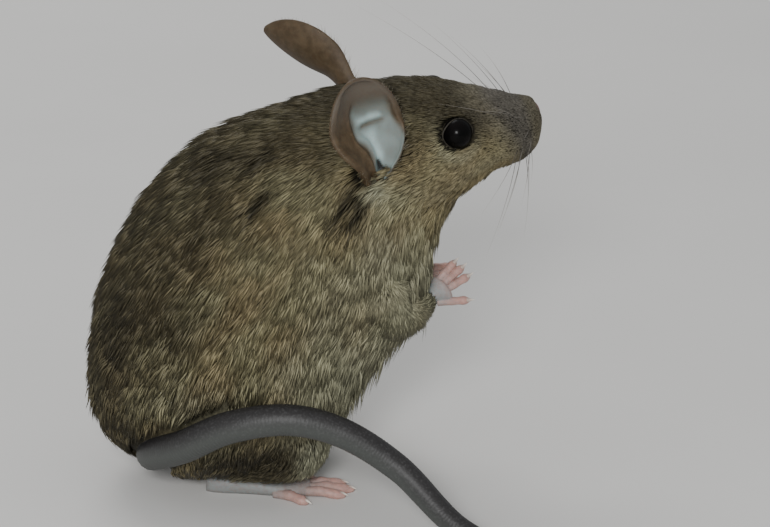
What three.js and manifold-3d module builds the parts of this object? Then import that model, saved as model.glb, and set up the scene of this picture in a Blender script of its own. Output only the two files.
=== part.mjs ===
// A house mouse sitting up on its haunches with its forepaws raised, life size.
// Millimetres. +X is forward (the nose), +Y is the animal's left, +Z is up, and the floor is Z = 0.
// Every solid is the outside of the coat. The trunk, neck, head, haunches and shoulders are one form that
// thin cuts part, and the feet, ears, eyes and tail are set into it with the same gap round them.
import * as THREE from "three";
import { mergeVertices } from "three/addons/utils/BufferGeometryUtils.js";
import Module from "manifold-3d";

const wasm = await Module();
wasm.setup();

const CUT = 0.3; // gap between two neighbouring solids
const FLOOR = 0; // level of every sole
const HEAD_ROLL = THREE.MathUtils.degToRad(11.5); // crown leans to the animal's right
const HEAD_YAW = THREE.MathUtils.degToRad(5); // nose turns to the animal's left
const NECK_PIVOT = new THREE.Vector3(-2, 0, 40);
const BODY_SIDES = 24; // points round a section of the body
const BODY_RINGS = 30; // sections from rump to nose
const BODY_LENGTH = 67; // along the middle of the sections
const RUMP_DOME = 0.07; // share of the body that rounds off the rump
const NOSE_DOME = 0.035; // share of the body that rounds off the nose
const NECK_START = 0.44; // places along the body, 0 at the rump and 1 at the nose
const HEAD_START = 0.535;
const NOSE_START = 0.955;
const TURN = { from: 0.5, to: 0.625 }; // the stretch over which the head takes up its turn

// Sections of the body from rump to nose, as [X, Z] of the back and of the belly, with half the width.
const BODY = [
  { back: [-22.4, 1.0], belly: [-6.0, -1.8], half: 7.6 },
  { back: [-25.8, 7.0], belly: [-1.2, 2.0], half: 10.4 },
  { back: [-26.9, 12.5], belly: [1.6, 6.2], half: 12.4 },
  { back: [-26.3, 18.0], belly: [4.3, 11.2], half: 13.2 },
  { back: [-25.0, 24.0], belly: [7.8, 15.3], half: 13.1 },
  { back: [-22.6, 30.0], belly: [11.2, 18.8], half: 12.6 },
  { back: [-19.0, 35.6], belly: [13.2, 22.5], half: 11.7 },
  { back: [-14.0, 40.4], belly: [14.2, 26.5], half: 10.6 },
  { back: [-8.2, 43.5], belly: [15.6, 30.0], half: 9.3 },
  { back: [-2, 45.25], belly: [17.25, 32.25], half: 8.25 },
  { back: [3.75, 46.5], belly: [19, 33.5], half: 7.5 },
  { back: [9, 47], belly: [20.5, 34.5], half: 7 },
  { back: [14, 46.75], belly: [22, 35.5], half: 6 },
  { back: [18.5, 46], belly: [23.25, 36], half: 5.25 },
  { back: [22.25, 45], belly: [25, 36.25], half: 4.25 },
  { back: [25.5, 44], belly: [26.25, 37.25], half: 3.5 },
  { back: [28, 43.5], belly: [27.75, 39.25], half: 2.5 },
];
// Rounded swellings of the body: centre, reach along X, Y and Z, and height. Both sides have each one.
const SWELLINGS = [
  { at: [-6, 13, 10.5], reach: [11, 9, 8], height: 3.0 }, // haunch
  { at: [6, 11, 24], reach: [8, 8, 8], height: 1.2 }, // shoulder
  { at: [13, 7, 38.5], reach: [6, 4, 4.5], height: 0.9 }, // cheek
  { at: [14.5, 5.5, 46], reach: [3.5, 3, 2], height: 0.5 }, // brow
  { at: [23.5, 4, 40.5], reach: [3, 3, 2.4], height: 0.8 }, // whisker pad
];

const EYE = { at: [16.1, 5.4, 43.15], radius: 1.8 };

// The ears differ, because each one turns by itself: base, long axis, the way that the cup faces, and the
// curl and the sharpness of its tip.
const EAR = { length: 14.4, half: 5.3, thick: 0.6, waist: 0.42, widest: 0.58, bend: 1.2, rings: 8, steps: 7 };
const EAR_TUCK = { deep: 1.3, to: 0.4 }; // the root of the ear turns this far into the head
const EAR_FLOOR = { deep: 2.2, to: 0.62 }; // the bottom of the cup is this much thicker than its rim
// root and tip are half the arc that a section of the cup covers there, in radians.
const EARS = {
  right: {
    base: [6, -8.25, 37.25],
    along: [-0.15, 0.1, 1],
    facing: [0.3, -0.9, 0.35],
    root: 2.3,
    tip: 0.7,
    sharp: 0,
  },
  left: {
    base: [7.5, 4.75, 44],
    along: [-0.62, 0.7, 0.33],
    facing: [0.75, 0.42, 0.5],
    root: 1.6,
    tip: 1.1,
    sharp: 0.2,
  },
};

const TAIL_RADIUS = { root: 2.0, tip: 0.45, falloff: 2.25 };
const TAIL_PIECES = ["root", "bend", "arch", "slope", "middle", "tip"];
const TAIL_RINGS = 36; // sections in the whole tail
const TAIL_SIDES = 9;
const TAIL_PATH = [
  [-13.5, 0.5, 5.25],
  [-18, -2.25, 4],
  [-20, -7, 5.5],
  [-17, -13, 8.75],
  [-12, -16.5, 12.25],
  [-5.5, -18.5, 13.5],
  [0.25, -19.5, 12],
  [6.5, -21.5, 8],
  [12.75, -27, 2.35],
  [19.5, -32.5, 0.83],
  [28, -36, 0.62],
  [37.5, -37.5, 0.36],
];

const HIND_LEG = [
  { at: [-8.5, 7.5, 12], half: 5.0, deep: 6.0 },
  { at: [-5.0, 9.2, 9.8], half: 4.4, deep: 5.6 },
  { at: [-5.0, 9.8, 6.6], half: 3.7, deep: 5.2 },
  { at: [-8.8, 9.2, 4.4], half: 2.6, deep: 2.8 },
  { at: [-12.4, 8.4, 2.9], half: 1.8, deep: 2.0 },
];
// The haunch is the part of the body inside this ball: its centre and its reach along X, Y and Z.
const HAUNCH = { at: [-8.5, 13.5, 11.0], reach: [9.6, 8.8, 10.6] };
const HIND_FOOT = {
  heel: { at: [-13.8, 6.3], half: 1.25, high: 2.7 },
  ball: { at: [-1.5, 9.1], half: 2.2, high: 2.0 },
};
const TOE_RADIUS = 0.68;
const TOE_HEIGHT = 0.72; // the middle of a toe above the floor, as a share of its radius
const SOLE_HEIGHT = 0.8; // the same for a section of the foot, whose lowest three corners reach the floor
const HIND_TOES = [
  { side: -1.8, back: 2.4, length: 3.1, turn: -23 },
  { side: -1.05, back: 0.5, length: 4.5, turn: -14 },
  { side: 0, back: 0, length: 4.9, turn: -6 },
  { side: 1.05, back: 0.5, length: 4.5, turn: 3 },
  { side: 1.85, back: 3.2, length: 3.5, turn: 27 },
];

const FORELEGS = {
  right: [
    { at: [5.5, -8.2, 25.0], half: 3.2, deep: 3.8 },
    { at: [8.4, -8.8, 21.9], half: 2.5, deep: 2.7 },
    { at: [11.0, -7.4, 21.4], half: 1.8, deep: 1.9 },
    { at: [13.6, -5.4, 22.4], half: 1.15, deep: 1.2 },
  ],
  left: [
    { at: [5.5, 8.2, 25.0], half: 3.2, deep: 3.8 },
    { at: [8.4, 8.8, 21.4], half: 2.5, deep: 2.7 },
    { at: [11.0, 7.4, 20.4], half: 1.8, deep: 1.9 },
    { at: [13.6, 5.4, 20.8], half: 1.15, deep: 1.2 },
  ],
};
// The foreleg with its shoulder is the part of the body inside this ball.
const SHOULDER = { at: [8.0, 8.8, 22.6], reach: [7.4, 6.6, 6.4] };
const FOREPAWS = {
  right: { wrist: [13.5, -5.5, 22.4], palm: [15.3, -5.3, 23.7], dorsal: [-0.25, -0.9, 0.35] },
  left: { wrist: [13.5, 5.5, 20.8], palm: [15.6, 5.2, 21.2], dorsal: [-0.25, 0.9, 0.35] },
};
const PALM = { wrist_half: 1.0, palm_half: 1.65, thick: 0.85 };
const FINGERS = [
  { side: -1.05, back: 0, length: 3.0, turn: -10 },
  { side: -0.38, back: 0, length: 3.3, turn: -3 },
  { side: 0.36, back: 0, length: 3.2, turn: 6 },
  { side: 1.2, back: 1.1, length: 3.0, turn: 34 },
];
const FINGER_RADIUS = 0.54;
const CLAW = { length: 1.0, radius: 0.28 };

const COAT = new THREE.MeshStandardMaterial({ color: "#6b6147", roughness: 0.9, metalness: 0 });
const BARE_SKIN = new THREE.MeshStandardMaterial({ color: "#c9a79b", roughness: 0.6, metalness: 0 });
const EAR_SKIN = new THREE.MeshStandardMaterial({ color: "#7d6a58", roughness: 0.6, metalness: 0 });
const TAIL_SKIN = new THREE.MeshStandardMaterial({ color: "#5d5f5c", roughness: 0.7, metalness: 0 });
const EYE_GLOSS = new THREE.MeshStandardMaterial({ color: "#0b0a0a", roughness: 0.08, metalness: 0 });

const vector = (list) => new THREE.Vector3(...list);

// Catmull-Rom value at t (0 to 1) through equally spaced numbers, with the end slopes carried on.
function spline(values, t) {
  const last = values.length - 1;
  const place = Math.min(Math.max(t, 0), 1) * last;
  const i = Math.min(Math.floor(place), last - 1);
  const f = place - i;
  const before = i > 0 ? values[i - 1] : 2 * values[0] - values[1];
  const after = i + 2 <= last ? values[i + 2] : 2 * values[last] - values[last - 1];
  const [a, b] = [values[i], values[i + 1]];
  return (
    a +
    0.5 * f * (b - before + f * (2 * before - 5 * a + 4 * b - after + f * (3 * (a - b) + after - before)))
  );
}

const smooth = (t) => {
  const s = Math.min(Math.max(t, 0), 1);
  return s * s * (3 - 2 * s);
};

// How far a section shrinks near an end so that the form closes as a dome.
const dome = (t, share) => (t < share ? Math.sqrt(Math.max(0, 1 - (1 - t / share) ** 2)) : 1);

// Closed solid from rings of points. An end ring that is one point is a pole, any other is a flat cap.
function solidFromRings(rings) {
  const positions = [];
  const index = [];
  const sides = Math.max(...rings.map((ring) => ring.length));
  const start = rings.map((ring) => {
    const first = positions.length / 3;
    ring.forEach((p) => positions.push(p.x, p.y, p.z));
    return first;
  });
  const corner = (ring, j) => start[ring] + (rings[ring].length === 1 ? 0 : j % sides);
  for (let i = 0; i + 1 < rings.length; i++)
    for (let j = 0; j < sides; j++) {
      const [a, b, c, d] = [corner(i, j), corner(i, j + 1), corner(i + 1, j + 1), corner(i + 1, j)];
      if (a !== b) index.push(a, b, c);
      if (c !== d) index.push(a, c, d);
    }
  [0, rings.length - 1].forEach((end) => {
    if (rings[end].length === 1) return;
    const middle = rings[end].reduce((sum, p) => sum.add(p), new THREE.Vector3());
    middle.divideScalar(sides);
    const hub = positions.length / 3;
    positions.push(middle.x, middle.y, middle.z);
    for (let j = 0; j < sides; j++) {
      const [a, b] = [corner(end, j), corner(end, j + 1)];
      index.push(...(end === 0 ? [hub, b, a] : [hub, a, b]));
    }
  });
  const geometry = new THREE.BufferGeometry();
  geometry.setAttribute("position", new THREE.Float32BufferAttribute(positions, 3));
  geometry.setIndex(index);
  return solidFromGeometry(geometry);
}

// A closed three.js geometry as a solid, turned right side out.
function solidFromGeometry(source) {
  const geometry = source.clone();
  geometry.deleteAttribute("normal");
  geometry.deleteAttribute("uv");
  const merged = mergeVertices(geometry, 1e-4);
  const corners = merged.index.array;
  const points = merged.attributes.position.array;
  const build = (triVerts) =>
    new wasm.Manifold(new wasm.Mesh({ numProp: 3, vertProperties: points, triVerts }));
  const kept = [];
  for (let i = 0; i < corners.length; i += 3) {
    const [a, b, c] = corners.subarray(i, i + 3);
    if (a !== b && b !== c && a !== c) kept.push(a, b, c);
  }
  const made = build(new Uint32Array(kept));
  if (made.volume() > 0) return made;
  for (let i = 0; i < kept.length; i += 3) [kept[i], kept[i + 1]] = [kept[i + 1], kept[i]];
  return build(new Uint32Array(kept));
}

// Turns a point of the head with it. Share runs from 0 in the trunk to 1 in the head.
function turnHead(point, share) {
  const turn = new THREE.Euler(HEAD_ROLL * share, 0, HEAD_YAW * share, "ZYX");
  return point.sub(NECK_PIVOT).applyEuler(turn).add(NECK_PIVOT);
}

// One point of the body: t along it, angle round it from the left side towards the back, grown by a margin.
function bodyPoint(t, angle, grow) {
  const at = (pick) => spline(BODY.map(pick), t);
  const back = new THREE.Vector3(at((s) => s.back[0]), 0, at((s) => s.back[1]));
  const belly = new THREE.Vector3(at((s) => s.belly[0]), 0, at((s) => s.belly[1]));
  const centre = back.clone().lerp(belly, 0.5);
  const closing = Math.min(dome(t, RUMP_DOME), dome(1 - t, NOSE_DOME));
  const up = back.clone().sub(centre);
  const rise = up.length();
  up.normalize();
  const [c, s] = [Math.cos(angle), Math.sin(angle)];
  const round = (x) => Math.sign(x) * Math.abs(x) ** 0.92;
  const offset = up
    .multiplyScalar(round(s) * rise * closing)
    .add(new THREE.Vector3(0, round(c) * at((k) => k.half) * closing, 0));
  const outward = offset.clone().normalize();
  const point = centre.clone().add(offset);
  let swell = 0;
  for (const { at: [x, y, z], reach, height } of SWELLINGS) {
    const away = new THREE.Vector3(point.x - x, Math.abs(point.y) - y, point.z - z).divide(vector(reach));
    swell += height * Math.exp(-away.lengthSq());
  }
  point.addScaledVector(outward, swell * closing + grow);
  point.z = Math.max(point.z, FLOOR);
  return turnHead(point, smooth((t - TURN.from) / (TURN.to - TURN.from)));
}

// The body between two places along it. Rings crowd towards the rounded ends.
function bodyPiece(from, to, grow = 0) {
  const rings = [];
  const steps = Math.max(4, Math.round(BODY_RINGS * (to - from)));
  for (let i = 0; i <= steps; i++) {
    let t = from + ((to - from) * i) / steps;
    if (from === 0) t = to * (i / steps) ** 1.25;
    if (to === 1) t = 1 - (1 - from) * (1 - i / steps) ** 1.4;
    const pole = (t === 0 || t === 1) && grow === 0;
    const sides = pole ? 1 : BODY_SIDES;
    const ring = [];
    for (let j = 0; j < sides; j++) ring.push(bodyPoint(t, (2 * Math.PI * j) / BODY_SIDES, grow));
    rings.push(ring);
  }
  return solidFromRings(rings);
}

// A limb of oval section along stations { at, half, deep }, domed at both ends.
function limb(stations, grow = 0, rings = 9, sides = 12) {
  const path = new THREE.CatmullRomCurve3(stations.map(({ at }) => vector(at)));
  const made = [];
  for (let i = 0; i <= rings; i++) {
    const t = i / rings;
    const ends = Math.min(dome(t, 0.14), dome(1 - t, 0.14));
    const centre = path.getPoint(t);
    const along = path.getTangent(t);
    const out = new THREE.Vector3(0, 1, 0);
    out.addScaledVector(along, -out.dot(along)).normalize();
    const across = along.clone().cross(out);
    const half = spline(stations.map((s) => s.half), t) * ends + grow;
    const deep = spline(stations.map((s) => s.deep), t) * ends + grow;
    const ring = [];
    for (let j = 0; j < (half > 0 ? sides : 1); j++) {
      const angle = (2 * Math.PI * j) / sides;
      const p = centre.clone().addScaledVector(out, half * Math.cos(angle));
      p.addScaledVector(across, deep * Math.sin(angle));
      p.z = Math.max(p.z, FLOOR + CUT);
      ring.push(p);
    }
    made.push(ring);
  }
  return solidFromRings(made);
}

const mirrored = (stations, side) =>
  stations.map((s) => ({ ...s, at: [s.at[0], side * s.at[1], s.at[2]] }));

// A toe with its claw: a round digit that lies along its base and ends in a curved point.
function digit(base, forward, down, length, radius) {
  const rings = [];
  const sides = 6;
  const across = forward.clone().cross(down).normalize();
  const stations = [
    [-0.2, 0.85, 0],
    [0.45, 0.9, -0.06],
    [0.8, 1.0, 0.02],
    [1.0, 0.6, 0.05],
    [1.0 + (0.35 * CLAW.length) / length, (0.8 * CLAW.radius) / radius, 0.06],
  ];
  for (const [t, wide, drop] of stations) {
    const centre = base.clone().addScaledVector(forward, t * length).addScaledVector(down, drop * length);
    const ring = [];
    for (let j = 0; j < sides; j++) {
      const angle = (2 * Math.PI * j) / sides;
      const p = centre.clone().addScaledVector(across, radius * wide * Math.cos(angle));
      p.addScaledVector(down, radius * wide * Math.sin(angle));
      p.z = Math.max(p.z, FLOOR);
      ring.push(p);
    }
    rings.push(ring);
  }
  const tip = base.clone().addScaledVector(forward, length + CLAW.length).addScaledVector(down, radius * 0.8);
  tip.z = Math.max(tip.z, FLOOR + 0.1);
  rings.push([tip]);
  return solidFromRings(rings);
}

// The long flat hind foot with five toes, standing on its sole.
function hindFoot(side, grow = 0) {
  const { heel, ball } = HIND_FOOT;
  const back = new THREE.Vector3(heel.at[0], side * heel.at[1], FLOOR);
  const front = new THREE.Vector3(ball.at[0], side * ball.at[1], FLOOR);
  const forward = front.clone().sub(back).normalize();
  const across = new THREE.Vector3(-forward.y, forward.x, 0).multiplyScalar(side);
  const length = front.distanceTo(back);
  const rings = [];
  const [steps, sides] = [7, 10];
  for (let i = 0; i <= steps; i++) {
    const t = i / steps;
    const ends = Math.min(dome(t, 0.1), dome(1 - t, 0.16));
    const half = THREE.MathUtils.lerp(heel.half, ball.half, smooth((t - 0.25) / 0.6)) * ends + grow;
    const high = (THREE.MathUtils.lerp(heel.high, ball.high, smooth(t)) * (0.45 + 0.55 * ends)) / 2 + grow;
    const centre = back.clone().addScaledVector(forward, t * length + (t < 0.5 ? -grow : grow));
    const ring = [];
    for (let j = 0; j < (half > 0 ? sides : 1); j++) {
      const angle = (2 * Math.PI * (j + 0.5)) / sides;
      const p = centre.clone().addScaledVector(across, half * Math.cos(angle));
      p.z = Math.max(FLOOR, high * (SOLE_HEIGHT + Math.sin(angle)));
      ring.push(p);
    }
    if (ring.length === 1) ring[0].z = high * 0.7;
    rings.push(ring);
  }
  let foot = solidFromRings(rings);
  if (grow > 0) return foot;
  for (const toe of HIND_TOES) {
    const base = front.clone().addScaledVector(forward, -toe.back - 0.5).addScaledVector(across, toe.side);
    base.z = FLOOR + TOE_HEIGHT * TOE_RADIUS;
    const turn = THREE.MathUtils.degToRad(toe.turn);
    const heading = forward.clone().multiplyScalar(Math.cos(turn)).addScaledVector(across, Math.sin(turn));
    foot = foot.add(digit(base, heading, new THREE.Vector3(0, 0, -1), toe.length, TOE_RADIUS));
  }
  return foot;
}

// A raised forepaw: a flat palm from the wrist and four fingers, the outermost from lower on the palm.
function forepaw({ wrist, palm, dorsal }, side) {
  const from = vector(wrist);
  const to = vector(palm);
  const forward = to.clone().sub(from).normalize();
  const down = vector(dorsal).negate();
  down.addScaledVector(forward, -down.dot(forward)).normalize();
  const across = forward.clone().cross(down).multiplyScalar(side);
  const length = to.distanceTo(from);
  const rings = [];
  const [steps, sides] = [5, 10];
  for (let i = 0; i <= steps; i++) {
    const t = i / steps;
    const ends = dome(1 - t, 0.3);
    const half = THREE.MathUtils.lerp(PALM.wrist_half, PALM.palm_half, smooth(t * 1.4)) * ends;
    const centre = from.clone().addScaledVector(forward, t * length);
    const ring = [];
    for (let j = 0; j < (half > 0 ? sides : 1); j++) {
      const angle = (2 * Math.PI * j) / sides;
      const p = centre.clone().addScaledVector(across, half * Math.cos(angle));
      ring.push(p.addScaledVector(down, PALM.thick * Math.sqrt(ends) * Math.sin(angle)));
    }
    rings.push(ring);
  }
  let paw = solidFromRings(rings);
  for (const finger of FINGERS) {
    const base = to.clone().addScaledVector(forward, -0.6 - finger.back).addScaledVector(across, finger.side);
    const turn = THREE.MathUtils.degToRad(finger.turn);
    const heading = forward.clone().multiplyScalar(Math.cos(turn)).addScaledVector(across, Math.sin(turn));
    heading.addScaledVector(down, 0.2).normalize();
    paw = paw.add(digit(base, heading, down, finger.length, FINGER_RADIUS));
  }
  return paw;
}

// A cupped ear: a leaf outline rolled into a tube at its base and opening towards its tip.
function ear({ base, along, facing, root, tip, sharp }, grow = 0) {
  const up = vector(along).normalize();
  const front = vector(facing);
  front.addScaledVector(up, -front.dot(up)).normalize();
  const across = up.clone().cross(front);
  const origin = vector(base);
  const width = (h) => {
    const below = THREE.MathUtils.lerp(EAR.waist, 1, smooth(h / EAR.widest));
    const above = Math.max(0, 1 - ((h - EAR.widest) / (1 - EAR.widest)) ** 2) ** (0.5 + sharp);
    return EAR.half * (h < EAR.widest ? below : above);
  };
  const sheet = (h, s) => {
    const curl = THREE.MathUtils.lerp(root, tip, smooth(h * 1.5));
    const radius = width(h) / curl;
    const a = s * curl;
    return origin
      .clone()
      .addScaledVector(up, EAR.length * h)
      .addScaledVector(across, radius * Math.sin(a))
      .addScaledVector(front, radius * (0.8 - Math.cos(a)) - EAR.bend * h * h)
      .addScaledVector(front, -EAR_TUCK.deep * (1 - smooth(h / EAR_TUCK.to)));
  };
  const normal = (h, s) => {
    const d = 1e-3;
    const dh = sheet(Math.min(h + d, 0.999), s).sub(sheet(h - d, s));
    const ds = sheet(h, s + d).sub(sheet(h, s - d));
    return ds.cross(dh).normalize();
  };
  const { rings, steps } = EAR;
  const made = [];
  for (let i = 0; i <= rings; i++) {
    const h = 0.99 * (1 - (1 - i / rings) ** 1.6) - (i === 0 ? grow / EAR.length : 0);
    const fill = EAR_FLOOR.deep * (1 - smooth(h / EAR_FLOOR.to));
    const ring = [];
    for (const face of [-1, 1])
      for (let j = 0; j <= steps; j++) {
        const s = face * (-1 + (2 * j) / steps);
        const rim = j === 0 || j === steps;
        const half = 0.5 * EAR.thick * (rim ? 0.7 : 1) + (face > 0 ? fill * (1 - s * s) : 0);
        const point = sheet(h, s * (1 + grow / width(h)));
        ring.push(point.addScaledVector(normal(h, s), face * (half + grow)));
      }
    made.push(ring.map((p) => turnHead(p, 1)));
  }
  return solidFromRings(made);
}

// The tail as one tapered round rod, made piece by piece and flattened where it lies on the floor.
const tailCurve = new THREE.CatmullRomCurve3(TAIL_PATH.map(vector), false, "centripetal");
const tailLength = tailCurve.getLength();
const tailRadius = (u) => THREE.MathUtils.lerp(TAIL_RADIUS.root, TAIL_RADIUS.tip, u ** TAIL_RADIUS.falloff);
function tailPiece(from, to, grow = 0) {
  const rings = [];
  const steps = Math.round(TAIL_RINGS * (to - from));
  for (let i = 0; i <= steps; i++) {
    const u = THREE.MathUtils.lerp(from, to, i / steps);
    const centre = tailCurve.getPointAt(u);
    const along = tailCurve.getTangentAt(u);
    const across = new THREE.Vector3(0, 0, 1).cross(along).normalize();
    const up = along.clone().cross(across);
    const radius = tailRadius(u) + grow;
    const ring = [];
    for (let j = 0; j < (u < 1 ? TAIL_SIDES : 1); j++) {
      const angle = (2 * Math.PI * j) / TAIL_SIDES;
      const p = centre.clone();
      if (u < 1) p.addScaledVector(across, radius * Math.cos(angle));
      if (u < 1) p.addScaledVector(up, radius * Math.sin(angle));
      p.z = Math.max(p.z, FLOOR);
      ring.push(p);
    }
    rings.push(ring);
  }
  return solidFromRings(rings);
}

// Moves a solid into a mesh whose origin is its own joint, inside the group that carries it.
function place(group, name, solid, material, joint = group.userData.joint) {
  const { vertProperties, triVerts, numProp } = solid.getMesh();
  const positions = new Float32Array((vertProperties.length / numProp) * 3);
  for (let i = 0; i < positions.length / 3; i++)
    positions.set(vertProperties.subarray(i * numProp, i * numProp + 3), 3 * i);
  const geometry = new THREE.BufferGeometry();
  geometry.setAttribute("position", new THREE.BufferAttribute(positions, 3));
  geometry.setIndex(new THREE.BufferAttribute(triVerts, 1));
  geometry.translate(-joint.x, -joint.y, -joint.z);
  geometry.computeVertexNormals();
  const mesh = new THREE.Mesh(geometry, material);
  mesh.name = name;
  mesh.position.copy(joint).sub(group.userData.joint);
  group.add(mesh);
  return mesh;
}

function part(parent, joint) {
  const group = new THREE.Group();
  group.userData.joint = joint;
  group.position.copy(joint);
  if (parent) group.position.sub(parent.userData.joint);
  if (parent) parent.add(group);
  return group;
}

const largest = (solid) => solid.decompose().sort((a, b) => b.volume() - a.volume())[0];

const mouse = part(null, new THREE.Vector3());
const headGroup = part(mouse, NECK_PIVOT);
const tailGroup = part(mouse, vector(TAIL_PATH[0]));

const cutShare = CUT / 2 / BODY_LENGTH; // half a cut as a share of the body
const SIDES = [
  ["right", -1],
  ["left", 1],
];
const ball = (at, reach, grow, across, along) =>
  solidFromGeometry(
    new THREE.SphereGeometry(1, across, along)
      .scale(reach[0] + grow, reach[1] + grow, reach[2] + grow)
      .translate(at.x, at.y, at.z),
  );
const region = ({ at: [x, y, z], reach }, side, grow) =>
  ball(new THREE.Vector3(x, side * y, z), reach, grow, 16, 8);
const tailGrown = tailPiece(0, 0.5, CUT);
const headGrown = bodyPiece(NECK_START - 0.1, 1, CUT);

// The trunk with the upper limbs grown into it, before the limbs are parted from it.
let trunk = bodyPiece(0, NECK_START - cutShare);
for (const [name, side] of SIDES) {
  trunk = trunk.add(limb(mirrored(HIND_LEG, side))).add(limb(FORELEGS[name]).subtract(headGrown));
}
trunk = trunk.subtract(tailGrown);
for (const [name, side] of SIDES) {
  const foot = hindFoot(side);
  const footGrown = hindFoot(side, CUT);
  const { at: heelAt, high: heelHigh } = HIND_FOOT.heel;
  const ankle = new THREE.Vector3(heelAt[0], side * heelAt[1], heelHigh);
  trunk = trunk.subtract(footGrown);
  place(mouse, "hind_leg_" + name, largest(trunk.intersect(region(HAUNCH, side, 0))), COAT);
  place(mouse, "hind_foot_" + name, foot, BARE_SKIN, ankle);
  trunk = trunk.subtract(region(HAUNCH, side, CUT));

  const wrist = vector(FOREPAWS[name].wrist);
  const paw = forepaw(FOREPAWS[name], side);
  place(mouse, "foreleg_" + name, largest(trunk.intersect(region(SHOULDER, side, 0))), COAT);
  place(mouse, "forepaw_" + name, largest(paw.subtract(limb(FORELEGS[name], CUT))), BARE_SKIN, wrist);
  trunk = trunk.subtract(region(SHOULDER, side, CUT));
}
place(mouse, "trunk", largest(trunk), COAT);

// The ears and eyes are set into the head.
let neck = bodyPiece(NECK_START + cutShare, HEAD_START - cutShare);
let head = bodyPiece(HEAD_START + cutShare, NOSE_START - cutShare);
for (const [name, side] of SIDES) {
  const eyeAt = turnHead(new THREE.Vector3(EYE.at[0], side * EYE.at[1], EYE.at[2]), 1);
  const eye = (grow) => ball(eyeAt, [EYE.radius, EYE.radius, EYE.radius], grow, 12, 8);
  const earGrown = ear(EARS[name], CUT);
  head = head.subtract(eye(CUT)).subtract(earGrown);
  neck = neck.subtract(earGrown);
  place(headGroup, "eye_" + name, eye(0), EYE_GLOSS, eyeAt);
  place(headGroup, "ear_" + name, ear(EARS[name]), EAR_SKIN, turnHead(vector(EARS[name].base), 1));
}
place(mouse, "neck", largest(neck), COAT, NECK_PIVOT);
place(headGroup, "head", largest(head), COAT);
place(headGroup, "nose", bodyPiece(NOSE_START + cutShare, 1), BARE_SKIN);

const pieces = TAIL_PIECES.length;
TAIL_PIECES.forEach((name, i) => {
  const gap = CUT / 2 / tailLength;
  const from = i / pieces + (i ? gap : 0);
  const to = (i + 1) / pieces - (i + 1 < pieces ? gap : 0);
  const joint = tailCurve.getPointAt(from);
  place(tailGroup, "tail_" + name, tailPiece(from, to), TAIL_SKIN, joint);
});

// The origin is the middle of the footprint, on the floor.
mouse.updateMatrixWorld(true);
const box = new THREE.Box3().setFromObject(mouse, true);
const middle = box.getCenter(new THREE.Vector3());
mouse.position.set(-middle.x, -middle.y, -box.min.z);

export default mouse;
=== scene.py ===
import math

import bpy
import numpy as np
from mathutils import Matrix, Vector


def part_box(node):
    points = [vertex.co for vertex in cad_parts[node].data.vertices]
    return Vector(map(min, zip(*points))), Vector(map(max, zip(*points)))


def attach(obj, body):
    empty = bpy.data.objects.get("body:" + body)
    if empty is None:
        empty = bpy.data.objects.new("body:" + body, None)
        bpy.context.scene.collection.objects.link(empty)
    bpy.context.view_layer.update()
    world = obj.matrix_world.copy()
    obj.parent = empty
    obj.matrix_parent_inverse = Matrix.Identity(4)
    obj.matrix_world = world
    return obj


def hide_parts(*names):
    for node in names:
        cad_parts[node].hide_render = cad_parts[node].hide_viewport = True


bl_info = {
    "name": "House mouse model",
    "version": (1, 0, 0),
    "blender": (4, 5, 0),
    "location": "3D View > Sidebar > Mouse",
    "description": "Skin, coat, eyes, claws and whiskers of a life-size house mouse",
    "category": "Add Mesh",
}

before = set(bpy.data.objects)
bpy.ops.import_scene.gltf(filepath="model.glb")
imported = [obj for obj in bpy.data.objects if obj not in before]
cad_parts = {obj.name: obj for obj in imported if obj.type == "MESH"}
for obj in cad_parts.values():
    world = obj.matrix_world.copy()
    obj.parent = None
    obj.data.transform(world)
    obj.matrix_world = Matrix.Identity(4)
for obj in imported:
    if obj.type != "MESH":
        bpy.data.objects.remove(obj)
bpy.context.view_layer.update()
MM = 0.001
SEED = 4

# ---------------------------------------------------------------- sizes of the animal, in millimetres

FLOOR = 0.0
HEAD_ROLL = math.radians(11.5)
HEAD_YAW = math.radians(5)
NECK_PIVOT = np.array([-2.0, 0, 40])
RUMP_DOME, NOSE_DOME, LIMB_DOME = 0.07, 0.035, 0.14
BODY_CLEARANCE, LIMB_CLEARANCE = 0.1, 0.3
TURN_FROM, TURN_TO = 0.5, 0.625
# sections of the body from rump to nose: X and Z of the back, X and Z of the belly, half the width
BODY = np.array([
    [-22.4, 1.0, -6.0, -1.8, 7.6],
    [-25.8, 7.0, -1.2, 2.0, 10.4],
    [-26.9, 12.5, 1.6, 6.2, 12.4],
    [-26.3, 18.0, 4.3, 11.2, 13.2],
    [-25.0, 24.0, 7.8, 15.3, 13.1],
    [-22.6, 30.0, 11.2, 18.8, 12.6],
    [-19.0, 35.6, 13.2, 22.5, 11.7],
    [-14.0, 40.4, 14.2, 26.5, 10.6],
    [-8.2, 43.5, 15.6, 30.0, 9.3],
    [-2, 45.25, 17.25, 32.25, 8.25],
    [3.75, 46.5, 19, 33.5, 7.5],
    [9, 47, 20.5, 34.5, 7],
    [14, 46.75, 22, 35.5, 6],
    [18.5, 46, 23.25, 36, 5.25],
    [22.25, 45, 25, 36.25, 4.25],
    [25.5, 44, 26.25, 37.25, 3.5],
    [28, 43.5, 27.75, 39.25, 2.5],
])
# swellings of the body: centre, reach along X, Y and Z, height
SWELLINGS = (
    ((-6, 13, 10.5), (11, 9, 8), 3.0),
    ((6, 11, 24), (8, 8, 8), 1.2),
    ((13, 7, 38.5), (6, 4, 4.5), 0.9),
    ((14.5, 5.5, 46), (3.5, 3, 2), 0.5),
    ((23.5, 4, 40.5), (3, 3, 2.4), 0.8),
)
EYE_AT = (16.1, 5.4, 43.15)
NOSE_AT = (28.2, 0.0, 42.2)
NOSE_REACH = (2.2, 1.4, 1.2)
NOSTRIL_AT = (27.6, 0.95, 42.3)
NOSTRIL_REACH = (0.7, 0.33, 0.42)
SOCKET_DEPTH, SOCKET_REACH = 0.45, 2.4
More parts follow.
